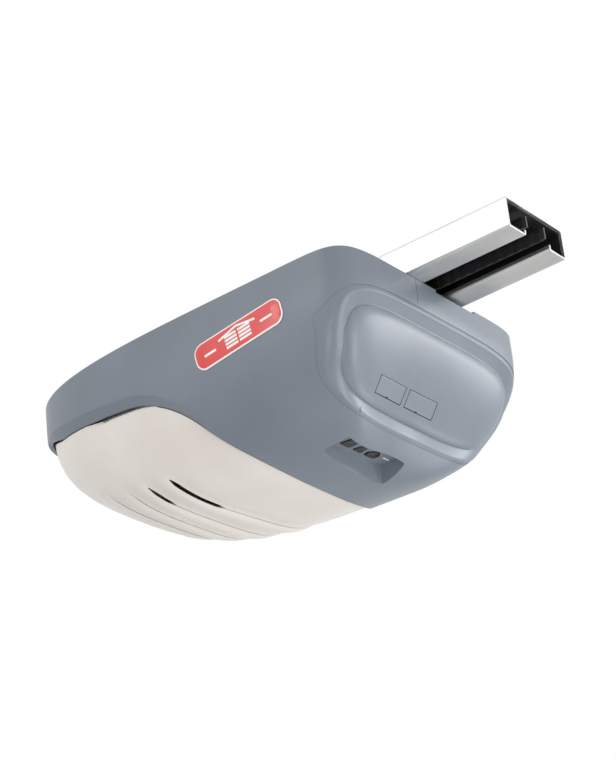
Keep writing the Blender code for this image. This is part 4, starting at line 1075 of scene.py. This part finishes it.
set_tree, given, result = new_tree("set_screws", [
    ("Screw", "NodeSocketObject"), ("Size", "NodeSocketFloat"), ("Turn Seed", "NodeSocketInt"),
    ("Material", "NodeSocketMaterial"),
])
screw_shape = add(set_tree, "GeometryNodeObjectInfo", {"Object": given["Screw"]}).outputs["Geometry"]
spin = add(set_tree, "FunctionNodeRandomValue", {"Seed": given["Turn Seed"]}, data_type="FLOAT")
spin.inputs[3].default_value = 2 * math.pi
turned = add(set_tree, "ShaderNodeCombineXYZ", {"Z": spin.outputs[1]}).outputs["Vector"]
set_out = add(set_tree, "GeometryNodeInstanceOnPoints", {
    "Points": given["Geometry"], "Instance": screw_shape, "Rotation": turned, "Scale": given["Size"]})
real = add(set_tree, "GeometryNodeRealizeInstances", {"Geometry": set_out.outputs["Instances"]}).outputs["Geometry"]
done = add(set_tree, "GeometryNodeSetMaterial", {"Geometry": real, "Material": given["Material"]}).outputs["Geometry"]
set_tree.links.new(done, result)

screw_steel = brushed("zinc_plated_screw_steel", "b4b6b6", "d3d5d4", 0.28, (900.0, 900.0, 900.0))
screw_sets = (
    ("cover_screws", BOSS_PLACES, RIM_Z + GAP, 0.0048, 0.014, "cover_screw", 3),
    ("saddle_screws", SADDLE_BOLTS, RIM_Z + STRAP_THICKNESS + 2 * GAP, 0.0060, 0.011, "saddle_screw", 8),
)
for name, places, seat, head, shank, node_name, seed in screw_sets:
    blank = screw_blank(head, shank)
    points = bpy.data.meshes.new(name)
    points.from_pydata([(x, y, seat) for x, y in places], [], [])
    screws = grown(name, points, set_tree, {"Screw": blank, "Size": 1.0, "Turn Seed": seed, "Material": screw_steel})
    bpy.data.objects.remove(blank)
    finished(screws, screw_steel, "head", [f"{node_name}_{k + 1}" for k in range(4)])

# ---- Cord gland -----------------------------------------------------------------------------------
# Black nylon strain relief snapped into the chassis, with a ribbed grip round its collar. The supply
# cord would leave the opener upward through it.


def revolved(name, profile, sides, at, turn=None, ribs=0, rib_height=0.0, rib_from=0.0):
    """Turned shape from (radius, height) pairs; ribs stand out along the parts wider than rib_from."""
    rings = []
    for radius, z in profile:
        ring = []
        for i in range(sides):
            angle = 2 * math.pi * i / sides
            wave = 0.0
            if ribs and radius >= rib_from:
                wave = rib_height * max(0.0, math.cos(ribs * angle)) ** 0.5
            reach = max(radius + wave, 0.00001)
            ring.append(Vector((reach * math.cos(angle), reach * math.sin(angle), z)))
        rings.append(ring)
    closed = profile[0] != profile[-1]
    if not closed:
        rings.pop()
        count = sides
        points = [p for ring in rings for p in ring]
        total = len(rings)
        faces = []
        for r in range(total):
            s = (r + 1) % total
            for i in range(count):
                j = (i + 1) % count
                faces.append((r * count + i, r * count + j, s * count + j, s * count + i))
        mesh = mesh_of(name, points, faces)
    else:
        mesh = lofted(name, rings)
    mesh.transform(Matrix.Translation(at) @ (turn or Matrix()))
    return solid(name, mesh)


gland_profile = [(0.0045, 0.0060), (0.0060, 0.0060), (0.0082, 0.0058), (0.0094, 0.0050), (0.0100, 0.0030),
                 (0.0102, 0.0012), (0.0108, 0.0010), (0.0108, GAP), (0.0080, GAP), (0.0080, -0.0026),
                 (0.0082, -0.0030), (0.0080, -0.0110), (0.0070, -0.0120), (0.0045, -0.0120), (0.0045, 0.0060)]
gland = revolved("cord_gland_body", gland_profile, 96, (*GLAND_PLACE, RIM_Z), ribs=16, rib_height=0.0002, rib_from=0.0094)
finished(gland, black_nylon_and_painted_shade, "head", ["cord_gland"])

# ---- Push buttons and light pipe ------------------------------------------------------------------
# Three glossy dark caps stand just proud of the pocket floor in their own cut-outs, each with a flange
# and stem behind that presses a switch on the board. A clear pipe beside them carries a status light.
POCKET_FLOOR = 0.003
dark_caps = moulded("glossy_brown_black_abs", "191412", "241c19", 0.14, 0.0012, 0.00001)
dark_caps.node_tree.nodes["Principled BSDF"].inputs["Coat Weight"].default_value = 0.5
floor_top = POCKET_FLOOR_Z + POCKET_FLOOR
for name, y in zip(("up", "program", "down"), BUTTON_Y):
    low = POCKET_FLOOR_Z - 0.0008
    rings = []
    for z, grow in ((low, -0.0012), (low + 0.00015, -0.0006), (low + 0.0005, -0.0001), (low + 0.0009, 0.0),
                    (floor_top + GAP, 0.0)):
        rings.append([Vector((POCKET_X + x, y + v, z)) for x, v in key_outline(name, grow)])
    cap = solid(f"cap_{name}", lofted("cap", rings))
    flange_at = (POCKET_X, y, floor_top + GAP + 0.0006)
    stem_top = RIM_Z - 0.1044
    stem_at = (POCKET_X, y, (stem_top + floor_top + GAP) / 2)
    blanks = [box_solid("flange", (0.0142, 0.0144, 0.0012), flange_at),
              box_solid("stem", (0.003, 0.003, stem_top - floor_top - GAP), stem_at),
              box_solid("stem_rib", (0.0046, 0.0010, (stem_top - floor_top) * 0.8), stem_at)]
    carve(cap, blanks, "UNION")
    finished(cap, dark_caps, f"{name}_button", [f"button_{name}"])

# ---- Lamp reflector -------------------------------------------------------------------------------
# Bright anodised sheet over the lamps: a flat top, a bend down in front of the gearbox, side flanges
# that show through the gap over the lens, and four rivets into the posts under the chassis.
REFLECTOR_Z = RIM_Z - 0.040
REFLECTOR_X = -0.002
REFLECTOR_SHEET = 0.0015
anodised = brushed("bright_anodised_sheet", "dcdcda", "eeeeec", 0.24, (18.0, 1300.0, 1300.0))
front_low = RIM_Z - 0.106
fold = strip_section([(-0.160, REFLECTOR_Z - 0.00075), (REFLECTOR_X - 0.00075, REFLECTOR_Z - 0.00075),
                      (REFLECTOR_X - 0.00075, front_low)], REFLECTOR_SHEET, 0.0040, 10)
rings = [[Vector((p.x, y, p.y)) for p in fold] for y in (-0.120, 0.120)]
count = len(fold)
points = [p for ring in rings for p in ring]
faces = [(i, (i + 1) % count, count + (i + 1) % count, count + i) for i in range(count)]
half = count // 2
for start_at in (0, count):
    faces += [(start_at + i, start_at + i + 1, start_at + count - 2 - i, start_at + count - 1 - i) for i in range(half - 1)]
sheet = solid("lamp_reflector", mesh_of("lamp_reflector", points, faces))
carve(sheet, [solid("limit", skin_mesh("limit", 120, 40, 0.0110, 0.0110, 0.0110, above=0.001))], "INTERSECT")
flange_ring = solid("flange_ring", skin_mesh("flange_ring", 120, 40, 0.0100, 0.0110, 0.0110, above=0.001))
carve(flange_ring, [solid("flange_core", skin_mesh("flange_core", 120, 40, 0.0112, 0.0125, 0.0125, above=0.002))])
band = box_solid("flange_band", (0.092, 0.260, 0.0170), (-0.064, 0.0, REFLECTOR_Z - 0.0085))
carve(flange_ring, [band], "INTERSECT")
carve(sheet, [flange_ring], "UNION")
details = []
for x in (-0.120, -0.090, -0.060, -0.030):
    slot = [(u, v) for u, v in stadium(0.0035, 0.0300, 0.0016)]
    details.append(upright("air_slot", slot, REFLECTOR_Z - 0.004, REFLECTOR_Z + 0.002, (x, 0.0)))
carve(sheet, details)
rivets = []
for x, y in ((-0.100, 0.080), (-0.100, -0.080), (-0.014, 0.080), (-0.014, -0.080)):
    low_face = REFLECTOR_Z - REFLECTOR_SHEET
    profile = [(0.0, low_face - 0.0014), (0.0018, low_face - 0.0012), (0.0032, low_face - 0.0005),
               (0.0036, low_face + 0.0004), (0.0, low_face + 0.0004)]
    rivets.append(revolved("rivet", profile, 24, (x, y, 0.0)))
carve(sheet, rivets, "UNION")
finished(sheet, anodised, "head", ["reflector"])

# ---- Lamps and sockets ----------------------------------------------------------------------------
# Two glazed porcelain sockets look backward from the reflector's front wall, each with a frosted lamp
# on a rolled brass-coloured screw base.
LAMP_Y = 0.050
LAMP_Z = RIM_Z - 0.072


def porcelain(name):
    """White glazed ceramic: glossy, with slight waves in the glaze."""
    look, tree, principled, place = finish_of(name, {"Coat Weight": 0.4, "Coat Roughness": 0.05})
    wave = noise(tree, place, 0.006)
    tree.links.new(two_tones(tree, wave, "e9e7e0", "f3f1eb"), principled.inputs["Base Color"])
    tree.links.new(between(tree, wave, 0.16, 0.24), principled.inputs["Roughness"])
    bump = add(tree, "ShaderNodeBump", {"Height": wave, "Distance": 0.00005, "Strength": 0.2})
    tree.links.new(bump.outputs["Normal"], principled.inputs["Normal"])
    return look


def frosted(name):
    """Etched lamp glass: white and translucent with a soft sheen and a faint cloudiness."""
    sockets = {"Subsurface Weight": 0.5, "Subsurface Scale": 0.006, "Transmission Weight": 0.10}
    look, tree, principled, place = finish_of(name, sockets)
    cloud = noise(tree, place, 0.012)
    tree.links.new(two_tones(tree, cloud, "efeeea", "f8f7f4"), principled.inputs["Base Color"])
    tree.links.new(between(tree, cloud, 0.28, 0.40), principled.inputs["Roughness"])
    return look


glazed = porcelain("white_glazed_porcelain")
frost = frosted("frosted_lamp_glass")
brass = brushed("lacquered_brass", "b99c58", "d4b873", 0.26, (700.0, 700.0, 700.0))
LAMP_TURN = Matrix.Rotation(math.pi / 2, 4, "Y")
lamp_face = REFLECTOR_X - REFLECTOR_SHEET - GAP
for number, side in enumerate((1, -1)):
    at = (lamp_face, side * LAMP_Y, LAMP_Z)
    profile = [(0.0, -0.0001), (0.0192, 0.0), (0.0200, -0.0008), (0.0200, -0.0036), (0.0190, -0.0046),
               (0.0178, -0.0060), (0.0175, -0.0080), (0.0175, -0.0110), (0.0170, -0.0116), (0.0170, -0.0130),
               (0.0175, -0.0136), (0.0175, -0.0180), (0.0170, -0.0186), (0.0170, -0.0200), (0.0175, -0.0206),
               (0.0175, -0.0288), (0.0165, -0.0300), (0.0152, -0.0300), (0.0145, -0.0292), (0.0145, -0.0062),
               (0.0, -0.0060)]
    holder = revolved(f"lamp_holder_{number + 1}", profile, 72, at, LAMP_TURN)
    finished(holder, glazed, "head", [f"lamp_socket_{number + 1}"])
    base = [(0.0, -0.0076), (0.0030, -0.0076), (0.0060, -0.0090), (0.0100, -0.0108)]
    z = -0.0118
    while z > -0.0300:
        base += [(0.0124, z), (0.0129, z - 0.0005), (0.0129, z - 0.0011), (0.0124, z - 0.0016), (0.0120, z - 0.0023)]
        z -= 0.0031
    base += [(0.0127, -0.0335), (0.0118, -0.0340), (0.0, -0.0340)]
    screw_base = revolved(f"lamp_base_{number + 1}", base, 64, at, LAMP_TURN)
    finished(screw_base, brass, "head", [], 50.0)
    glass = [(0.0, -0.0325), (0.0119, -0.0325), (0.0123, -0.0345), (0.0128, -0.0385), (0.0140, -0.0440),
             (0.0164, -0.0510), (0.0196, -0.0575), (0.0228, -0.0640), (0.0252, -0.0710)]
    glass += [(0.0264 * math.cos(math.radians(t)), -0.0780 - 0.0264 * math.sin(math.radians(t)))
              for t in range(-8, 90, 7)]
    glass.append((0.0, -0.1044))
    bulb = revolved(f"lamp_glass_{number + 1}", glass, 72, at, LAMP_TURN)
    finished(bulb, frost, "head", [f"lamp_{number + 1}"], 60.0)

# ---- Drive, motor and control parts ---------------------------------------------------------------
# The parts inside the shell keep their frame shapes: machined and cast metals, nylon gear, copper
# winding, laminated core and the coated board, each with the finish of the real part.


def grainy(name, dark, light, low, high, grain, height, **shader):
    """Cast, sintered, wound or coated surface: two tones, uneven gloss and a bump of that grain."""
    look, tree, principled, place = finish_of(name, shader)
    texture = noise(tree, place, grain)
    tree.links.new(two_tones(tree, texture, dark, light), principled.inputs["Base Color"])
    tree.links.new(between(tree, texture, low, high), principled.inputs["Roughness"])
    bump = add(tree, "ShaderNodeBump", {"Height": texture, "Distance": height, "Strength": 0.5})
    tree.links.new(bump.outputs["Normal"], principled.inputs["Normal"])
    return look


def banded(name, dark, light, low, high, pitch, axis, **shader):
    """Fine even lines across one axis, as in a winding or a stack of laminations."""
    look, tree, principled, place = finish_of(name, shader)
    bands = add(tree, "ShaderNodeTexWave", {"Vector": place, "Scale": 1 / (pitch * 20), "Distortion": 0.4},
                bands_direction=axis).outputs["Fac"]
    tree.links.new(two_tones(tree, bands, dark, light), principled.inputs["Base Color"])
    tree.links.new(between(tree, bands, low, high), principled.inputs["Roughness"])
    bump = add(tree, "ShaderNodeBump", {"Height": bands, "Distance": 0.0001, "Strength": 0.6})
    tree.links.new(bump.outputs["Normal"], principled.inputs["Normal"])
    return look


turned_steel = brushed("fine_turned_steel", "b9bbbc", "d4d6d7", 0.22, (1500.0, 300.0, 300.0))
carried = {
    "output_shaft": turned_steel, "worm_shaft": turned_steel, "drive_sprocket": turned_steel,
    "worm_wheel": moulded("natural_gear_nylon", "e3ddc9", "ece7d6", 0.42),
    "gearbox_housing": grainy("die_cast_aluminium", "96999b", "b1b4b5", 0.38, 0.55, 0.0012, 0.00006, Metallic=1.0),
    "motor_can": brushed("drawn_motor_steel", "a5a8aa", "bfc2c4", 0.30, (40.0, 900.0, 900.0)),
    "motor_armature": banded("enamelled_copper_winding", "8a4a22", "b4672f", 0.28, 0.40, 0.0006, "X", Metallic=1.0),
    "motor_commutator": banded("copper_commutator", "a8623a", "c98657", 0.25, 0.40, 0.0016, "Y", Metallic=1.0),
    "upper_bearing": grainy("sintered_bronze", "8f7446", "a98b57", 0.35, 0.55, 0.0005, 0.00003, Metallic=1.0),
    "transformer_core": banded("laminated_core_steel", "4b4d50", "6a6d70", 0.40, 0.60, 0.0007, "Z", Metallic=1.0),
    "transformer_coil": banded("taped_coil", "c9a24a", "dcb963", 0.45, 0.60, 0.0020, "Y"),
    "circuit_board": grainy("coated_circuit_board", "1d5b34", "287343", 0.30, 0.45, 0.0030, 0.00002),
    "terminal_block": moulded("white_polyamide", "e4e3de", "eeede9", 0.40),
    "status_light_pipe": moulded("clear_light_pipe", "dfe2e4", "f0f2f3", 0.12, 0.0010, 0.00001),
}
same = {
    "gearbox_lid": "gearbox_housing", "motor_end_bell": "gearbox_housing", "lower_bearing": "upper_bearing",
}
for node_name, model in same.items():
    carried[node_name] = carried[model]
for node_name in ("motor_strap", "hinge_bracket_1", "hinge_bracket_2", "reflector_post_1", "reflector_post_2",
                  "reflector_post_3", "reflector_post_4"):
    carried[node_name] = zinc_steel
for node_name in ("hinge_pin_1", "hinge_pin_2"):
    carried[node_name] = turned_steel
for node_name in ("speed_disc", "speed_sensor", "relay_1", "relay_2", "filter_capacitor", "switch_up",
                  "switch_program", "switch_down"):
    carried[node_name] = black_nylon_and_painted_shade
for node_name, look in carried.items():
    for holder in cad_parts[node_name].material_slots:
        holder.material = look

# ---- Camera, floor and light ----------------------------------------------------------------------
# The opener hangs under a ceiling and is seen from low on its left. Soft light comes from a large
# source in front and a weaker one behind, over a pale floor that throws some of it back up.
camera = bpy.data.cameras.new("camera")
camera.lens = 118.42
camera.sensor_width = 36.0
camera.shift_x = -0.0462
camera.shift_y = -0.0598
view = bpy.data.objects.new("camera", camera)
bpy.context.scene.collection.objects.link(view)
azimuth = math.radians(34.78)
rise = math.radians(28.18)
roll = math.radians(-6.81)
right = Vector((math.cos(azimuth), math.sin(azimuth), 0.0))
down = Vector((-math.sin(azimuth) * math.sin(rise), math.cos(azimuth) * math.sin(rise), -math.cos(rise)))
ahead = Vector((-math.sin(azimuth) * math.cos(rise), math.cos(azimuth) * math.cos(rise), math.sin(rise)))
across_view = math.cos(roll) * right - math.sin(roll) * down
down_view = math.sin(roll) * right + math.cos(roll) * down
turned_view = Matrix((across_view, -down_view, -ahead)).transposed().to_4x4()
view.matrix_world = Matrix.Translation(Vector((WIDEST_X, 0.0, RIM_Z)) - ahead * 2.0) @ turned_view
bpy.context.scene.camera = view

floor_mesh = mesh_of("floor", [(-8, -8, -2.2), (8, -8, -2.2), (8, 8, -2.2), (-8, 8, -2.2)], [(0, 1, 2, 3)])
floor_look, floor_tree, floor_shader, floor_place = finish_of("pale_floor", {"Roughness": 0.9})
floor_tone = two_tones(floor_tree, noise(floor_tree, floor_place, 0.5), "e9e9e8", "eeeeed")
floor_tree.links.new(floor_tone, floor_shader.inputs["Base Color"])
floor_mesh.materials.append(floor_look)
floor = solid("floor", floor_mesh)


def softbox(name, at, aim, size, power):
    """Large square lamp that faces the opener."""
    lamp = bpy.data.lights.new(name, "AREA")
    lamp.size = size
    lamp.energy = power
    made = bpy.data.objects.new(name, lamp)
    made.location = at
    made.rotation_euler = (Vector(aim) - Vector(at)).to_track_quat("-Z", "Y").to_euler()
    bpy.context.scene.collection.objects.link(made)
    return made


softbox("front_light", (1.75, 0.15, -0.85), (0.12, 0.0, -0.09), 0.8, 13.0)
softbox("low_light", (0.90, 1.00, -1.30), (0.12, 0.0, -0.12), 0.6, 7.0)
softbox("flank_light", (0.40, -1.75, -1.00), (0.08, -0.05, -0.10), 0.45, 7.0)
softbox("edge_light", (1.45, 1.55, 0.38), (0.15, 0.0, -0.06), 0.5, 13.0)
softbox("back_light", (-0.60, -2.00, 0.70), (0.12, 0.0, -0.03), 0.9, 7.0)
world = bpy.data.worlds.new("studio")
bpy.context.scene.world = world
world.use_nodes = True
sky = world.node_tree
path_kind = add(sky, "ShaderNodeLightPath").outputs
seen = add(sky, "ShaderNodeMath", {0: path_kind["Is Camera Ray"], 1: path_kind["Is Glossy Ray"]},
           operation="MAXIMUM").outputs[0]
plain = add(sky, "ShaderNodeBackground", {"Color": (1, 1, 1, 1), "Strength": 1.0}).outputs[0]
soft = add(sky, "ShaderNodeBackground", {"Color": (1.0, 1.0, 1.0, 1), "Strength": 0.66}).outputs[0]
mixed = add(sky, "ShaderNodeMixShader", {0: seen, 1: soft, 2: plain}).outputs[0]
sky.links.new(mixed, sky.nodes["World Output"].inputs["Surface"])
bpy.context.scene.view_settings.view_transform = "Standard"
